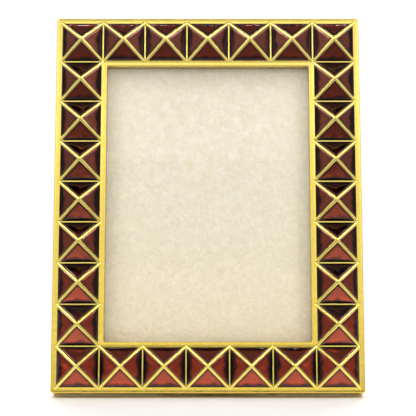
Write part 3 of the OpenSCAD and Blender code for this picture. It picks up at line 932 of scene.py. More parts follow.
def casting_rings(sizes):
    """The casting's section, from its rear outer edge over both rims and back to the rear."""
    studs = Contour(sizes.cols * sizes.stud_w / 2, sizes.rows * sizes.stud_d / 2, 0)
    inner = studs.grown_by(-sizes.stud_w, -sizes.stud_d, 0)
    cover, rim, corner = sizes.rim_cover, sizes.inner_rim, sizes.inner_r
    outer = studs.grown_by(sizes.outer_rim, sizes.outer_rim, sizes.corner_r)
    track = studs.grown_by(-cover, -cover, corner)
    island = inner.grown_by(cover, cover, corner)
    window = inner.grown_by(-rim, -rim, corner)
    side, end = (ledge + sizes.rebate_gap for ledge in (sizes.ledge_side, sizes.ledge_end))
    rebate = window.grown_by(side, end, corner)
    big, small, rear = sizes.edge_round, sizes.track_round, sizes.back_round
    rings = outer.rounding(-1, rear - sizes.depth, rear, -90, 0)
    rings += outer.rounding(-1, -big, big, 0, 90, steps=6)
    rings += track.rounding(1, -small, small, 90, 180)
    rings += [track.at(0, -sizes.core_drop), island.at(0, -sizes.core_drop)]
    rings += island.rounding(-1, -small, small, 0, 90)
    rings += window.rounding(1, -big, big, 90, 180, steps=6)
    # Painted shade down the window's wall, darkest at the ledge
    rings += [window.at(0, -WALL_SHADE_AT * sizes.ledge, -WALL_SHADE)]
    rings += [window.at(0, -sizes.ledge, -1.0), rebate.at(0, -sizes.ledge)]
    rings += rebate.rounding(1, rear - sizes.depth, rear, 180, 270)
    return rings


class BuildCasting(bpy.types.Operator):
    """Makes the cast border: both rims, the window's wall, the rebate and the back"""

    bl_idname = PREFIX + ".casting"
    bl_label = "Cast border"

    def execute(self, context):
        shape = bmesh.new()
        rings = casting_rings(settings("border"))
        skin_rings(shape, [points for points, _ in rings], closed=True)
        mesh = finished_mesh("cast_border", shape, FACE)
        # Edge marks: rubbed edges where positive, painted shade on the window's wall where negative
        marks = mesh.attributes.new("edge", "FLOAT", "POINT")
        marks.data.foreach_set("value", [polish for points, polish in rings for _ in points])
        gold = finish("plated_gold")
        new_piece("cast_border", mesh, FRAME_BODY, "frame_casting", gold)
        return {"FINISHED"}


def transformed(tree, shape, **changes):
    """A geometry moved by its Translation, Rotation or Scale."""
    return result_of(tree, "GeometryNodeTransform", {"Geometry": shape, **changes})


def joined(tree, parts):
    """Joins geometries into one."""
    made = add_node(tree, "GeometryNodeJoinGeometry")
    for part in parts:
        tree.links.new(part, made.inputs[0])
    return made.outputs[0]


def instanced(tree, points, shape, **places):
    """Puts a shape on points and makes the copies real."""
    given = {"Points": points, "Instance": shape, **places}
    copies = result_of(tree, "GeometryNodeInstanceOnPoints", given)
    return result_of(tree, "GeometryNodeRealizeInstances", {"Geometry": copies})


def wire(tree, curves, width, thickness, given):
    """Sweeps an oval section along curves that stray a little sideways between their ends."""
    fine = result_of(
        tree, "GeometryNodeResampleCurve", {"Curve": curves, "Count": WIRE_POINTS}, mode="COUNT"
    )
    place = result_of(tree, "GeometryNodeInputPosition")
    scale = calculate(tree, "DIVIDE", 1.0, given["Ripple length"])
    ripple = {"Vector": place, "W": given["Seed"], "Scale": scale, "Detail": 1.0}
    stray = add_node(tree, "ShaderNodeTexNoise", ripple, noise_dimensions="4D").outputs["Color"]
    centred = vector_math(tree, "SUBTRACT", stray, (0.5, 0.5, 0.5))
    along = add_node(tree, "GeometryNodeSplineParameter").outputs["Factor"]
    held = calculate(tree, "SINE", times(tree, along, math.pi))
    reach = times(tree, held, times(tree, given["Wobble"], NOISE_REACH))
    offset = vector_math(tree, "SCALE", centred, reach)
    moved = result_of(tree, "GeometryNodeSetPosition", {"Geometry": fine, "Offset": offset})
    upright = result_of(tree, "GeometryNodeSetCurveNormal", {"Curve": moved}, mode="Z_UP")
    round_section = {"Resolution": WIRE_SIDES, "Radius": 0.5}
    circle = result_of(tree, "GeometryNodeCurvePrimitiveCircle", round_section)
    section = transformed(tree, circle, Scale=vector(tree, width, thickness, 1.0))
    sweep = {"Curve": upright, "Profile Curve": section, "Fill Caps": True}
    return result_of(tree, "GeometryNodeCurveToMesh", sweep)


def border_points(tree, given):
    """The middles of the border's studs, as the vertices of a grid whose inner ones are gone."""
    across, down = (minus(tree, given[key], 1.0) for key in ("Columns", "Rows"))
    sides = {
        "Size X": times(tree, across, given["Stud width"]),
        "Size Y": times(tree, down, given["Stud depth"]),
        "Vertices X": given["Columns"],
        "Vertices Y": given["Rows"],
    }
    grid = result_of(tree, "GeometryNodeMeshGrid", sides)
    place = result_of(tree, "GeometryNodeInputPosition")
    inside = []
    for axis, steps, pitch in ((0, across, "Stud width"), (1, down, "Stud depth")):
        inner = minus(tree, calculate(tree, "DIVIDE", steps, 2.0), 0.5)
        off = calculate(tree, "ABSOLUTE", part_of(tree, place, axis))
        inside.append(calculate(tree, "LESS_THAN", off, times(tree, inner, given[pitch])))
    both = {"Geometry": grid, "Selection": times(tree, *inside)}
    return result_of(tree, "GeometryNodeDeleteGeometry", both, domain="POINT")


def ridge_lines(tree, given, slope):
    """The four ridges of one stud, as lines from its tip down to its corners."""
    half = times(tree, given["Ridge thickness"], 0.5 / math.cos(slope))
    drop = minus(tree, half, given["Ridge lift"])
    tip = vector(tree, z=minus(tree, given["Stud height"], drop))
    foot_z = minus(tree, times(tree, given["Ridge foot"], -1.0), drop)
    lines = []
    for side, end in CORNERS:
        x = times(tree, given["Stud width"], side / 2)
        y = times(tree, given["Stud depth"], end / 2)
        ends = {"Start": tip, "End": vector(tree, x, y, foot_z)}
        lines.append(result_of(tree, "GeometryNodeCurvePrimitiveLine", ends))
    return joined(tree, lines)


def bar_lines(tree, points, given):
    """The bars between neighbouring studs: lines across the middles of the grid's edges."""
    ends = add_node(tree, "GeometryNodeInputMeshEdgeVertices").outputs
    between = vector_math(tree, "SUBTRACT", ends["Position 2"], ends["Position 1"])
    apart = calculate(tree, "ABSOLUTE", part_of(tree, between, 0))
    kept = add_node(tree, "GeometryNodeCaptureAttribute", {"Geometry": points}, domain="EDGE")
    kept.capture_items.new("FLOAT", "Beside")
    tree.links.new(calculate(tree, "GREATER_THAN", apart, TINY), kept.inputs["Beside"])
    upright = kept.outputs["Beside"]
    edges = {"Mesh": kept.outputs["Geometry"]}
    middles = result_of(tree, "GeometryNodeMeshToPoints", edges, mode="EDGES")
    hidden = times(tree, minus(tree, given["Rim cover"], given["Bar tuck"]), 2.0)
    span = mix(tree, upright, given["Stud width"], given["Stud depth"], numbers=True)
    size = vector(tree, minus(tree, span, hidden), 1.0, 1.0)
    turn = vector(tree, z=times(tree, upright, math.pi / 2))
    unit = {"Start": (-0.5, 0, 0), "End": (0.5, 0, 0)}
    line = result_of(tree, "GeometryNodeCurvePrimitiveLine", unit)
    lines = instanced(tree, middles, line, Rotation=turn, Scale=size)
    sunk = vector(tree, z=times(tree, given["Bar thickness"], -0.5))
    return transformed(tree, lines, Translation=sunk)


def stud_cores(tree, points, given):
    """The plain metal pyramid under each stud's enamel."""
    pyramid = {"Vertices": 4, "Radius Top": 0.0, "Radius Bottom": math.sqrt(0.5), "Depth": 1.0}
    cone = result_of(tree, "GeometryNodeMeshCone", pyramid)
    square = transformed(tree, cone, Rotation=(0, 0, math.pi / 4))
    size = vector(tree, given["Stud width"], given["Stud depth"], given["Stud height"])
    sunk = vector(tree, z=times(tree, given["Core depth"], -1.0))
    return instanced(tree, points, transformed(tree, square, Scale=size, Translation=sunk))


def tip_beads(tree, points, given):
    """The small cast bead on each stud's tip."""
    round_shape = {"Segments": 16, "Rings": 8, "Radius": 0.5}
    ball = result_of(tree, "GeometryNodeMeshUVSphere", round_shape)
    size = vector(tree, given["Tip width"], given["Tip width"], given["Tip thickness"])
    half = times(tree, given["Tip thickness"], 0.5)
    raised = vector(tree, z=minus(tree, given["Stud height"], half))
    return instanced(tree, points, transformed(tree, ball, Scale=size, Translation=raised))


def dressed(tree, shape, given):
    """A geometry in the material that the group is given, as the group's output."""
    both = {"Geometry": shape, "Material": given["Material"]}
    return {"Geometry": result_of(tree, "GeometryNodeSetMaterial", both)}


def lattice(tree, given):
    """Ridges, bars, tips and cores of every stud round the border."""
    sizes = settings("border")
    slope = math.atan2(2 * sizes.stud_h, math.hypot(sizes.stud_w, sizes.stud_d))
    points = border_points(tree, given)
    ridges = instanced(tree, points, ridge_lines(tree, given, slope))
    bars = bar_lines(tree, points, given)
    wires = [
        wire(tree, ridges, given["Ridge width"], given["Ridge thickness"], given),
        wire(tree, bars, given["Bar width"], given["Bar thickness"], given),
        tip_beads(tree, points, given),
    ]
    marked = {"Geometry": joined(tree, wires), "Name": "edge", "Value": 1.0}
    store = "GeometryNodeStoreNamedAttribute"
    polished = result_of(tree, store, marked, data_type="FLOAT", domain="POINT")
    smooth = result_of(tree, "GeometryNodeSetShadeSmooth", {"Geometry": polished})
    whole = joined(tree, [smooth, stud_cores(tree, points, given)])
    real = result_of(tree, "GeometryNodeRealizeInstances", {"Geometry": whole})
    return dressed(tree, real, given)


def lattice_sizes():
    """The sizes that the lattice's node tree takes, by the names of their properties."""
    keys = [("border", key) for key in LATTICE_BORDER]
    keys += [("lattice", key) for key in LatticeSizes.__annotations__]
    return {
        settings(group).bl_rna.properties[key].name: getattr(settings(group), key)
        for group, key in keys
    }


def grown(name, seed_mesh, tree, values):
    """The plain mesh that a Geometry Nodes tree makes on a seed mesh with these inputs."""
    holder = shown(name + ".seed", seed_mesh)
    modifier = holder.modifiers.new(name, "NODES")
    modifier.node_group = tree
    for item in tree.interface.items_tree:
        if item.in_out == "INPUT" and item.name in values:
            modifier[item.identifier] = values[item.name]
    mesh = evaluated_mesh(holder)
    bpy.data.objects.remove(holder)
    mesh.name = name
    mesh.materials.clear()
    mesh.materials.append(values["Material"])
    mesh.polygons.foreach_set("material_index", [0] * len(mesh.polygons))
    if not mesh.polygons:
        raise RuntimeError(name + " came out empty")
    return mesh


class BuildLattice(bpy.types.Operator):
    """Makes the gold ridges, bars, tips and cores of the studs"""

    bl_idname = PREFIX + ".lattice"
    bl_label = "Stud lattice"

    def execute(self, context):
        sizes = lattice_sizes()
        inputs = {"Geometry": ("Geometry", None), "Material": ("Material", None)}
        for name, value in sizes.items():
            inputs[name] = ("Int" if isinstance(value, int) else "Float", value)
        tree = new_group("Stud lattice", "GeometryNodeTree", inputs, lattice)
        seed_mesh = bpy.data.meshes.new("lattice_seed")
        values = {"Material": finish("polished_gold"), **sizes}
        mesh = grown("stud_lattice", seed_mesh, tree, values)
        mesh.transform(FACE)
        new_piece("stud_lattice", mesh, FRAME_BODY, "frame_casting")
        return {"FINISHED"}


def round_band(distance, width):
    """Height share of a round shoulder: 0 at its edge, 1 from width inwards."""
    return math.sqrt(1 - (1 - min(max(distance / width, 0), 1)) ** 2)


def eased(value):
    """A smooth rise from 0 to 1."""
    value = min(max(value, 0), 1)
    return value * value * (3 - 2 * value)


class Fill:
    """One triangle of enamel, drawn with its stud's tip at the origin and its base towards -y."""

    def __init__(self, border, sizes, side, number, turn, base_in, chance):
        flank = turn % 2
        self.border = border
        self.sizes = sizes
        self.width, self.depth = border.stud_w, border.stud_d
        self.deep, self.clear = sizes.base_deep, sizes.base_pool
        if flank:
            self.width, self.depth = border.stud_d, border.stud_w
            self.deep, self.clear = sizes.flank_deep, sizes.flank_pool
        # The side studs' upper fills get a wider, darker band of painted shade
        if turn == NORTH and side in ("left", "right"):
            self.deep, self.clear = sizes.shaded_deep, sizes.shaded_pool
        down = {"top": 0, "bottom": 1}.get(side, number / border.rows)
        # Painted glow on the left and right fills towards the foot, painted sheen on them towards
        # the head
        self.lit = flank * sizes.foot_glow * eased(2 * (down - PAINTED_GLOW_FROM))
        self.haze = flank * MOST_PAINTED_SHEEN * (1 - down)
        self.base_in = base_in
        self.diagonal = math.hypot(self.width, self.depth)
        self.tone = chance.uniform(0, 1)
        self.glow = chance.uniform(*(FLANK_PAINTED_GLOW if flank else PAINTED_GLOW))
        self.rise = sizes.rise * chance.uniform(*RISE_RANGE)
        self.tilt = chance.uniform(-sizes.tilt, sizes.tilt)
        self.place = chance.uniform(*NOISE_RANGE)

    def corners(self, drawn_in):
        """The fill's plan, drawn in from its edges by a distance."""
        y = self.base_in + drawn_in - self.depth / 2
        side = (self.sizes.ridge_edge + drawn_in) * self.diagonal
        x = -(y * self.width + side) / self.depth
        return Vector((-x, y)), Vector((x, y)), Vector((0, -side / self.width))

    def deepest(self):
        """The distance from the edges to the fill's middle."""
        lean = self.diagonal / self.width
        return (self.depth / 2 - self.base_in - self.sizes.ridge_edge * lean) / (1 + lean)

    def facet(self, y):
        """Height of the stud's flat facet."""
        return self.border.stud_h * (1 + 2 * y / self.depth)

    def stray(self, point):
        """Noise of the fill's own at a point."""
        return noise.noise(Vector((point.x, point.y, self.place)) / self.sizes.wave_size)

    def edges(self, point):
        """Distances from the base, which count more near the corners, and from both sides."""
        _, corner, _ = self.corners(0)
        base = point.y + self.depth / 2 - self.base_in
        bow = 1 - self.sizes.bow * min(point.x / corner.x, 1, key=abs) ** 2
        across = point.x * self.depth / self.diagonal
        side = -point.y * self.width / self.diagonal - self.sizes.ridge_edge
        return base / bow, side - across, side + across

    def swell(self, point):
        """Share of the full swell at a point, from 0 at the edges to 1."""
        base, left, right = self.edges(point)
        band = self.sizes.side_band
        sides = round_band(left, band) * round_band(right, band)
        return round_band(base, self.sizes.base_band) * sides

    def marks(self, point):
        """A point's share of pooled enamel and painted shade, from 1 at the edges to 0, its painted
        glow, tone and painted sheen.
        """
        base, left, right = self.edges(point)
        stray = self.stray(point)
        base += POOL_STRAY * self.clear * stray
        line = self.sizes.side_pool
        clear = eased((base - self.deep) / (self.clear - self.deep))
        clear *= eased(left / line) * eased(right / line)
        off = (base - PAINTED_EMBER_AT * self.clear) / self.sizes.ember_w
        ember = self.glow * math.exp(-off * off) * eased(PAINTED_EMBER_LEVEL + PAINTED_EMBER_BREAKS * stray)
        return 1 - clear, max(ember, self.lit), self.tone, self.haze

    def top(self, point):
        """A point of the upper surface."""
        share = self.swell(point)
        _, base, tip = self.corners(0)
        sink = self.sizes.sink * (tip.y - point.y) / (tip.y - base.y)
        wave = self.sizes.wave * self.stray(point) + self.tilt * point.x
        z = self.facet(point.y) + (sink + self.rise + wave) * share - sink
        return Vector((point.x, point.y, z))

    def bottom(self, point):
        """A point of the under surface, on the metal core."""
        z = self.facet(point.y) - CORE_SHARE * self.border.core_drop
        return Vector((point.x, point.y, z))

    def outline(self, drawn_in):
        """The plan's points at that distance from the edges."""
        corners = self.corners(drawn_in)
        steps = self.sizes.steps
        return [
            corners[side].lerp(corners[(side + 1) % 3], k / steps)
            for side in range(3)
            for k in range(steps)
        ]

    def build(self, shape, layers, place):
        """Adds the fill to a bmesh, with its marks in vertex layers."""
        before = len(shape.verts)
        turns = arc(0, 90, self.sizes.rings)[:-1]
        plans = [self.outline(self.deepest() * (1 - math.cos(t))) for t in turns]
        tops = [[self.top(point) for point in plan] for plan in plans]
        made, hub = capped_skin(shape, [[self.bottom(point) for point in plans[0]]] + tops)
        for plan, ring in zip(plans, made[1:]):
            for point, vertex in zip(plan, ring):
                for layer, value in zip(layers, self.marks(point)):
                    vertex[layer] = value
        pool, _, tone, haze = layers
        for vertex in made[0]:
            vertex[pool] = 1
        hub[tone] = self.tone
        hub[haze] = self.haze
        for vertex in list(shape.verts)[before:]:
            vertex.co = place @ vertex.co


def fill_bases(side, number, border, sizes):
    """Each base edge's tuck, for the fills south, east, north and west of one stud."""
    rim, bar = sizes.rim_edge, sizes.bar_edge
    if side not in ("top", "bottom"):
        return bar, rim, bar, rim
    inner = rim if 1 < number < border.cols else bar
    right = bar if number < border.cols else rim
    left = bar if number > 1 else rim
    return (inner, right, rim, left) if side == "top" else (rim, right, inner, left)


def stud_places(border):
    """Every stud's side of the frame, number and middle."""
    left = -(border.cols - 1) / 2 * border.stud_w
    top = (border.rows - 1) / 2 * border.stud_d
    for number in range(1, border.cols + 1):
        x = left + (number - 1) * border.stud_w
        yield "top", number, Vector((x, top, 0))
        yield "bottom", number, Vector((x, -top, 0))
    for number in range(1, border.rows - 1):
        y = top - number * border.stud_d
        yield "left", number, Vector((left, y, 0))
        yield "right", number, Vector((-left, y, 0))


class BuildEnamel(bpy.types.Operator):
    """Makes the four garnet fills of every stud"""

    bl_idname = PREFIX + ".enamel"
    bl_label = "Enamel fills"

    def execute(self, context):
        border, sizes = settings("border"), settings("enamel")
        chance = random.Random(sizes.seed)
        for side, number, place in stud_places(border):
            shape = bmesh.new()
            layers = [shape.verts.layers.float.new(mark) for mark in ENAMEL_MARKS]
            for turn, base_in in enumerate(fill_bases(side, number, border, sizes)):
                fill = Fill(border, sizes, side, number, turn, base_in, chance)
                turned = Matrix.Rotation(math.pi / 2 * turn, 4, "Z")
                fill.build(shape, layers, Matrix.Translation(place) @ turned)
            stud = "%s_%d" % (side, number)
            mesh = finished_mesh("garnet_" + stud, shape, FACE, ENAMEL_SHARP)
            material = finish("fired_garnet")
            node = "enamel_" + stud
            new_piece("garnet_" + stud, mesh, FRAME_BODY, node, material)
        return {"FINISHED"}


class DressGlazing(bpy.types.Operator):
    """Finishes the glass, the insert, the card and the hidden boards"""

    bl_idname = PREFIX + ".glazing"
    bl_label = "Glass, insert and boards"

    def execute(self, context):
        for node, material in PLAIN_NODES.items():
            for place in frame["nodes"][node].material_slots:
                place.material = finish(material)
        return {"FINISHED"}


def pane_halves(border):
    """Half the glass's width and height, which the picture and panel share."""
    half_w = (border.cols - 2) * border.stud_w / 2 - border.inner_rim + border.ledge_side
    half_d = (border.rows - 2) * border.stud_d / 2 - border.inner_rim + border.ledge_end
    return half_w, half_d


class CoverPanel(bpy.types.Operator):
    """Wraps the back panel in velveteen, turned over its four edges"""

    bl_idname = PREFIX + ".panel"
    bl_label = "Panel cover"

    def execute(self, context):
        border, sizes = settings("border"), settings("back")
        half_w, half_d = pane_halves(border)
        radius = sizes.panel_round
        skins = []
        for skin in (sizes.fabric_t, 0):
            bend, low = radius - skin, skin - border.depth
            levels = [(skin, sizes.panel_t - border.depth)]
            for t in arc(0, 90, 6):
                levels.append((skin + bend * (1 - math.cos(t)), low + bend * (1 - math.sin(t))))
            skins.append([rectangle_ring(half_w - d, half_d - d, radius, z) for d, z in levels])
        shape = bmesh.new()
        capped_skin(shape, skins[0][::-1] + skins[1])
        name, cloth = "panel_velveteen", finish("short_velveteen")
        mesh = finished_mesh(name, shape, FACE)
        piece = new_piece(name, mesh, FRAME_BODY, "back_fabric", cloth)
        return {"FINISHED"}


def screw_middle(border, sizes):
    """The upper right button's screw, seen from the front."""
    half_w, half_d = pane_halves(border)
    return Vector((half_w + border.rebate_gap + sizes.button_out, half_d - sizes.button_inset, 0))


class BuildButtons(bpy.types.Operator):
    """Makes the four turn buttons that hold the back panel"""

    bl_idname = PREFIX + ".buttons"
    bl_label = "Turn buttons"

    def execute(self, context):
        border, sizes = settings("border"), settings("back")
        half = sizes.button_w / 2
        far = sizes.button_l - half
        turns = arc(0, 180, 20)
        outline = [Vector((-half * math.sin(t), half * math.cos(t))) for t in turns]
        outline += [Vector((far + half * math.sin(t), -half * math.cos(t))) for t in turns]
        screw = screw_middle(border, sizes)
        low = -border.depth - sizes.head_gap - sizes.button_t
        for index, (side, end) in enumerate(((-1, 1), (-1, -1), (1, 1), (1, -1)), start=1):
            shape = bmesh.new()
            rounded_prism(shape, outline, 0, sizes.button_t, sizes.edge_round)
            at = Matrix.Translation((side * screw.x, end * screw.y, low))
            turned = Matrix.Rotation(math.pi if side > 0 else 0, 4, "Z")
            node = "turn_button_%d" % index
            brass_piece("brass_button_%d" % index, shape, FACE @ at @ turned, node, node)
        return {"FINISHED"}


def knuckle(shape, start, end, radius, ease):
    """A knuckle from start to end along the pin, with eased ends."""
    bend = [(radius - ease * (1 - math.cos(t)), ease * (1 - math.sin(t))) for t in arc(0, 90, 3)]
    profile = [(0, start)] + [(r, start + z) for r, z in bend[::-1]]
    profile += [(r, end - z) for r, z in bend] + [(0, end)]
    lathe(shape, profile, ALONG_X)


def dome_profile(radius, height, shank, depth):
    """A domed head of that radius and height above z = 0, on a shank that ends at -depth."""
    flat = height * HEAD_RIM
    profile = [(0, -depth), (shank, -depth), (shank, 0)]
    profile += [(radius * HEAD_UNDER, 0), (radius, flat * RIM_BEVEL)]
    for t in arc(0, DOME_ARC, 7):
        profile.append((radius * math.cos(t), flat + (height - flat) * math.sin(t)))
    return profile + [(0, height)]


class BuildHinge(bpy.types.Operator):
    """Makes the hinge's two leaves, with their knuckles, and its pin"""

    bl_idname = PREFIX + ".hinge"
    bl_label = "Easel hinge"

    def execute(self, context):
        sizes = settings("back")
        half, ease, thick = sizes.hinge_w / 2, sizes.edge_round, sizes.leaf_t
        reach, bend, corner = sizes.leaf_l, sizes.notch_r, sizes.leaf_r
        inner = sizes.knuckle_w / 2 + sizes.knuckle_gap
        notch = sizes.knuckle_r + sizes.knuckle_gap
        drop = sizes.knuckle_lift + sizes.knuckle_r
        on_panel = Matrix.Translation(LEG.translation) @ FACE.to_3x3().to_4x4()

        shape = bmesh.new()
        plan = [
            (-half, 0), (-inner, 0), (-inner, notch), (inner, notch),
            (inner, 0), (half, 0), (half, reach), (-half, reach),
        ]
        radii = [sizes.fold_r] * 2 + [bend] * 2 + [sizes.fold_r] * 2 + [corner] * 2
        rounded_prism(shape, rounded_polygon(plan, radii), drop - thick, drop, ease)
        knuckle(shape, -half, -inner, sizes.knuckle_r, ease)
        knuckle(shape, inner, half, sizes.knuckle_r, ease)
        brass_piece("brass_hinge_plate", shape, on_panel, FRAME_BODY, "hinge_plate")

        shape = bmesh.new()
        low = -sizes.leg_t / 2 - thick
        top = sizes.knuckle_r + sizes.leg_gap
        tongue = sizes.knuckle_w / 2
        plan = [
            (-half, -reach), (half, -reach), (half, -top), (tongue, -top),
            (tongue, sizes.heel), (-tongue, sizes.heel), (-tongue, -top), (-half, -top),
        ]
        radii = [corner] * 2 + [bend] * 6
        rounded_prism(shape, rounded_polygon(plan, radii), low, low + thick, ease)
        knuckle(shape, -tongue, tongue, sizes.knuckle_r, ease)
        brass_piece("brass_hinge_leaf", shape, LEG, LEG_BODY, "hinge_leaf")

        shape = bmesh.new()
        start = half + sizes.pin_gap
        one_end = [(sizes.shank_r * PIN_SHARE, start), (sizes.pin_r, start)]
        for t in arc(0, PIN_ARC, 6):
            rise = sizes.pin_t * (PIN_RIM + (1 - PIN_RIM) * math.sin(t))
            one_end.append((sizes.pin_r * math.cos(t), start + rise))
        one_end.append((0, start + sizes.pin_t))
        other_end = [(r, -z) for r, z in one_end[::-1]]
        lathe(shape, other_end + one_end, ALONG_X)
        brass_piece("brass_hinge_pin", shape, on_panel, FRAME_BODY, "hinge_pin")
        return {"FINISHED"}


def leg_skin(sizes, skin):
    """The leg's outline drawn in by skin, as a bmesh whose foot stands that far off the floor."""
    half_t = sizes.leg_t / 2
    top, end = sizes.knuckle_r + sizes.leg_gap, sizes.leg_reach + half_t
    widen = (sizes.leg_foot_w - sizes.leg_top_w) / 2 / (end - top)
    top_half = sizes.leg_top_w / 2 - skin
    foot_half = sizes.leg_foot_w / 2 - skin + widen * skin
    head = -top - skin
    plan = [(-top_half, head), (-foot_half, -end), (foot_half, -end), (top_half, head)]
    outline = rounded_polygon(plan, [sizes.leg_corner - skin] * 4, steps=6)
    shape = bmesh.new()
    rounded_prism(shape, outline, skin - half_t, half_t - skin, sizes.leg_round - skin, steps=4)
    # What would pass below the floor slides up along the leg, as the foot is cut to the floor
    up = LEG.col[1].z
    for vertex in shape.verts:
        below = skin - (LEG @ vertex.co).z
        if below > 0:
            vertex.co.y += below / up
    return shape


class CoverLeg(bpy.types.Operator):
    """Wraps the easel leg in velveteen on both faces and all edges"""

    bl_idname = PREFIX + ".leg"
    bl_label = "Leg cover"

    def execute(self, context):
        sizes = settings("back")
        whole = bmesh.new()
        for skin in (0, sizes.fabric_t):
            shape = leg_skin(sizes, skin)
            bmesh.ops.recalc_face_normals(shape, faces=shape.faces)
            if skin:
                bmesh.ops.reverse_faces(shape, faces=shape.faces)
            part = bpy.data.meshes.new("leg_skin")
            shape.to_mesh(part)
            shape.free()
            whole.from_mesh(part)
            bpy.data.meshes.remove(part)
        mesh = finished_mesh("leg_velveteen", whole, LEG, outwards=False)
        cloth = finish("short_velveteen")
        piece = new_piece("leg_velveteen", mesh, LEG_BODY, "leg_fabric", cloth)
        return {"FINISHED"}


def fasteners(tree, given):
    """Copies of one fastener on given points, each turned by chance about its own axis."""
    source = add_node(tree, "GeometryNodeObjectInfo", {"Object": given["Fastener"]})
    half_turn = {"Min": (0.0, 0.0, 0.0), "Max": (0.0, 0.0, math.pi), "Seed": given["Seed"]}
    turn = result_of(tree, "FunctionNodeRandomValue", half_turn, data_type="FLOAT_VECTOR")
    shape = source.outputs["Geometry"]
    copies = instanced(tree, given["Geometry"], shape, Rotation=turn, Scale=given["Size"])
    return dressed(tree, copies, given)


def fastener(name, profile, slot=None):
    """The mesh object of one fastener, with a slot sawn across its head if it has one."""
    shape = bmesh.new()
    lathe(shape, profile, Matrix(), steps=40)
    source = shown(name, finished_mesh(name, shape))
    if slot:
        wide, deep = slot
        top = Matrix.Translation((0, 0, profile[-1][1]))
        saw = bmesh.new()
        cut = top @ Matrix.Diagonal((1, wide, 2 * deep, 1))
        bmesh.ops.create_cube(saw, size=1, matrix=cut)
        blade = shown(name + ".blade", finished_mesh(name + ".blade", saw))
        sawn = source.modifiers.new("Slot", "BOOLEAN")
        sawn.operation = "DIFFERENCE"
        sawn.object = blade
        mesh = evaluated_mesh(source)
        source.modifiers.remove(sawn)
        source.data = mesh
        bpy.data.objects.remove(blade)
        mesh.set_sharp_from_angle(angle=math.radians(SHARP))
    return source


class BuildFasteners(bpy.types.Operator):
    """Makes the button screws and the hinge's rivets"""

    bl_idname = PREFIX + ".fasteners"
    bl_label = "Screws and rivets"

    def execute(self, context):
        border, sizes = settings("border"), settings("back")
        head = (sizes.rivet_r, sizes.rivet_t, sizes.shank_r)
        screw_head = dome_profile(sizes.head_r, sizes.head_t, sizes.screw_r, sizes.screw_l)
        screw = fastener("slotted_screw", screw_head, (sizes.slot_w, sizes.slot_t))
        rivet = fastener("domed_rivet", dome_profile(*head, sizes.rivet_l))
        through = sizes.leg_t + sizes.leaf_t
        tail = [
            (0, -through - sizes.tail_t),
            (sizes.rivet_r * TAIL_END, -through - sizes.tail_t),
            (sizes.rivet_r, -through - RIM_BEVEL * sizes.tail_t),
            (sizes.rivet_r, -through),
            (sizes.shank_r, -through),
        ]
        clinched = fastener("clinched_rivet", tail + dome_profile(*head, 0)[2:])

        screw_at = screw_middle(border, sizes)
        screw_z = -border.depth - 2 * sizes.head_gap - sizes.button_t
        rivet_x = sizes.hinge_w / 2 - sizes.rivet_side
        rivet_y = sizes.leaf_l - sizes.rivet_in
        pin = FACE.inverted() @ LEG.translation
        screws = [(s * screw_at.x, e * screw_at.y, screw_z) for s in (-1, 1) for e in (-1, 1)]
        in_panel = [(s * rivet_x, pin.y + rivet_y, -border.depth - sizes.leaf_t) for s in (-1, 1)]
        in_leg = [(s * rivet_x, -rivet_y, -sizes.leg_t / 2 - sizes.leaf_t) for s in (-1, 1)]

        inputs = {
            "Geometry": ("Geometry", None),
            "Fastener": ("Object", None),
            "Size": ("Float", 1.0),
            "Seed": ("Int", 1),
            "Material": ("Material", None),
        }
        tree = new_group("Fasteners", "GeometryNodeTree", inputs, fasteners)
        back = Matrix.Rotation(math.pi, 4, "X")
        for name, source, place, body, node, middles in (
            ("slotted_screws", screw, FACE, FRAME_BODY, "button_screws", screws),
            ("panel_rivet_heads", rivet, FACE, FRAME_BODY, "panel_rivets", in_panel),
            ("leg_rivet_heads", clinched, LEG, LEG_BODY, "leg_rivets", in_leg),
        ):
            points = bpy.data.meshes.new(name + ".points")
            points.from_pydata([back @ Vector(point) for point in middles], [], [])
            values = {"Fastener": source, "Size": 1.0, "Seed": sizes.seed}
            values["Material"] = finish("plated_brass")
            mesh = grown(name, points, tree, values)
            mesh.transform(place @ back)
            new_piece(name, mesh, body, node)
        for source in (screw, rivet, clinched):
            bpy.data.objects.remove(source)
        return {"FINISHED"}


def background_rays(tree):
    """1 for the rays that should meet a white background: seen, mirrored and through glass."""
    rays = add_node(tree, "ShaderNodeLightPath").outputs
    seen = calculate(tree, "MAXIMUM", rays["Is Camera Ray"], rays["Is Glossy Ray"])
    return calculate(tree, "MAXIMUM", seen, rays["Is Transmission Ray"])


def floor_finish(stage):
    """Plain pale floor that fades to pure white away from the frame."""
    made = Finish("pale_floor", Roughness=0.45)
    tree = made.tree
    _, mask = made.grain(40.0)
    clouds = spread_out(tree, mask, 0.0, 1.0, 0.0, 0.4)
    made.fill(Base_Color=mix(tree, clouds, settings("finishes").floor, (0.98, 0.98, 0.98)))
    beyond = vector_math(tree, "SUBTRACT", vector_math(tree, "ABSOLUTE", made.place), FOOTPRINT)
    away = vector_math(tree, "LENGTH", vector_math(tree, "MAXIMUM", beyond))
    faded = spread_out(tree, away, stage.floor_near, stage.floor_far)
    white = result_of(tree, "ShaderNodeEmission", {"Color": (1, 1, 1), "Strength": 1.0})
    made.replace(times(tree, background_rays(tree), faded), white)
    return made.material


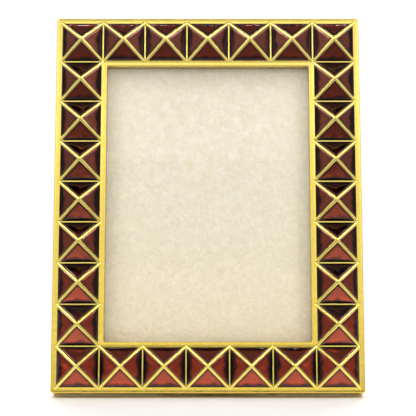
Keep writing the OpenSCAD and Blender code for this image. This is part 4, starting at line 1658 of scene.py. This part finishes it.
def lit_room(stage):
    """The room's light: a white horizon, a pale sweep behind, and a dim room in front."""
    world = bpy.data.worlds.new("plain_room")
    world.use_nodes = True
    tree = world.node_tree
    tree.nodes.clear()
    toward = add_node(tree, "ShaderNodeTexCoord").outputs["Generated"]
    behind = spread_out(tree, part_of(tree, toward, 1), *SWEEP, stage.world, stage.sweep)
    level = calculate(tree, "ABSOLUTE", part_of(tree, toward, 2))
    band = spread_out(tree, level, stage.band_low, stage.band_high, stage.horizon, behind)
    strength = mix(tree, background_rays(tree), stage.fill, band, numbers=True)
    light = {"Color": (1, 1, 1), "Strength": strength}
    shader = result_of(tree, "ShaderNodeBackground", light)
    add_node(tree, "ShaderNodeOutputWorld", {"Surface": shader})
    bpy.context.scene.world = world


def stage_sheet(name, half, material, place=Matrix()):
    """A square sheet of the stage, from its half width."""
    shape = bmesh.new()
    bmesh.ops.create_grid(shape, x_segments=1, y_segments=1, size=half, matrix=place)
    made = shown(name, finished_mesh(name, shape))
    made.data.materials.append(material)
    return made


def dark_card(stage, name, way, most):
    """A dark card in front (way -1) or behind, met only by mirrored rays, as in a studio."""
    made = Finish(name, Base_Color=(0.02, 0.02, 0.02), Roughness=0.9)
    away = times(made.tree, part_of(made.tree, made.place, 1), way)
    made.fill(Alpha=spread_out(made.tree, away, stage.card_near, stage.card_far, 0.0, most))
    place = Matrix.Translation((0, CARD_AT * way, CARD_UP))
    card = stage_sheet(name, CARD_HALF, made.material, place)
    card.visible_camera = card.visible_diffuse = False
    card.visible_shadow = card.visible_transmission = False


def lamp(stage, name, bearing, height, width, depth, brightness):
    """A soft rectangular lamp on the dome, which the camera doesn't see."""
    round_z = Matrix.Rotation(math.radians(-bearing), 4, "Z")
    raised = Matrix.Rotation(math.radians(-height), 4, "X")
    out = (round_z @ raised).to_3x3() @ Vector((0, -1, 0))
    light = bpy.data.lights.new(name, "AREA")
    light.shape = "RECTANGLE"
    light.size, light.size_y = (
        2 * stage.dome * math.tan(math.radians(angle / 2)) for angle in (width, depth)
    )
    light.energy = brightness * LAMP_WATTS * light.size * light.size_y
    made = shown(name, light)
    made.location = Vector((0, 0, stage.dome_z)) + out * stage.dome
    made.rotation_euler = (-out).to_track_quat("-Z", "Y").to_euler()
    made.visible_camera = False


def add_lamps(stage):
    """Every lamp of the dome, with both lamps of each pair."""
    for name, bearing, height, width, depth, *brightness in LAMPS:
        if len(brightness) == 1:
            lamp(stage, name, bearing, height, width, depth, *brightness)
            continue
        for side, way, power in zip(("left", "right"), (1, -1), brightness):
            lamp(stage, side + "_" + name, way * bearing, height, width, depth, power)
    for index, (bearing, height) in enumerate(SPARKS, start=1):
        lamp(stage, "crown_spark_%d" % index, bearing, height, *SPARK)


def add_camera(stage):
    """The camera, square on to the frame's width and looking a little down."""
    forward = Vector((0, math.cos(stage.pitch), -math.sin(stage.pitch)))
    right = Vector((1, 0, 0))
    up = right.cross(forward)
    camera = shown("camera", bpy.data.cameras.new("camera"))
    camera.data.sensor_width = SENSOR
    camera.data.lens = stage.lens
    camera.data.clip_start = NEAREST
    place = FACE.translation - forward * stage.distance - up * stage.above + right * stage.aside
    axes = Matrix((right, up, -forward)).transposed().to_4x4()
    camera.matrix_world = Matrix.Translation(place) @ axes
    bpy.context.scene.camera = camera


class SetStage(bpy.types.Operator):
    """Makes the camera, the floor, the lamps and the room's light"""

    bl_idname = PREFIX + ".stage"
    bl_label = "Stage"

    def execute(self, context):
        stage = settings("stage")
        add_camera(stage)
        stage_sheet("floor", FLOOR_HALF, floor_finish(stage))
        dark_card(stage, "front_card", -1, stage.card_share)
        dark_card(stage, "rear_card", 1, stage.rear_share)
        lit_room(stage)
        add_lamps(stage)
        context.scene.view_settings.view_transform = "Standard"
        return {"FINISHED"}


STEPS = (
    BuildCasting,
    BuildLattice,
    BuildEnamel,
    DressGlazing,
    CoverPanel,
    BuildButtons,
    BuildHinge,
    CoverLeg,
    BuildFasteners,
    SetStage,
)
GROUPS = {
    "border": BorderSizes,
    "lattice": LatticeSizes,
    "enamel": EnamelSizes,
    "back": BackSizes,
    "finishes": Finishes,
    "stage": StageSizes,
}


class PictureFramePanel(bpy.types.Panel):
    """Lists the frame's pieces and their sizes"""

    bl_idname = "VIEW3D_PT_" + PREFIX
    bl_label = "Picture frame"
    bl_space_type = "VIEW_3D"
    bl_region_type = "UI"
    bl_category = "Picture frame"

    def draw(self, context):
        for step in STEPS:
            self.layout.operator(step.bl_idname)
        for name, group in GROUPS.items():
            box = self.layout.box()
            box.label(text=name.title())
            for key in group.__annotations__:
                box.prop(settings(name), key)


def register():
    for name, group in GROUPS.items():
        bpy.utils.register_class(group)
        setattr(bpy.types.Scene, PREFIX + "_" + name, PointerProperty(type=group))
    for made in STEPS + (PictureFramePanel,):
        bpy.utils.register_class(made)


def unregister():
    for made in STEPS + (PictureFramePanel,):
        bpy.utils.unregister_class(made)
    for name, group in GROUPS.items():
        delattr(bpy.types.Scene, PREFIX + "_" + name)
        bpy.utils.unregister_class(group)


def main():
    register()
    for step in STEPS:
        group, name = step.bl_idname.split(".")
        getattr(getattr(bpy.ops, group), name)()


if __name__ == "__main__":
    main()
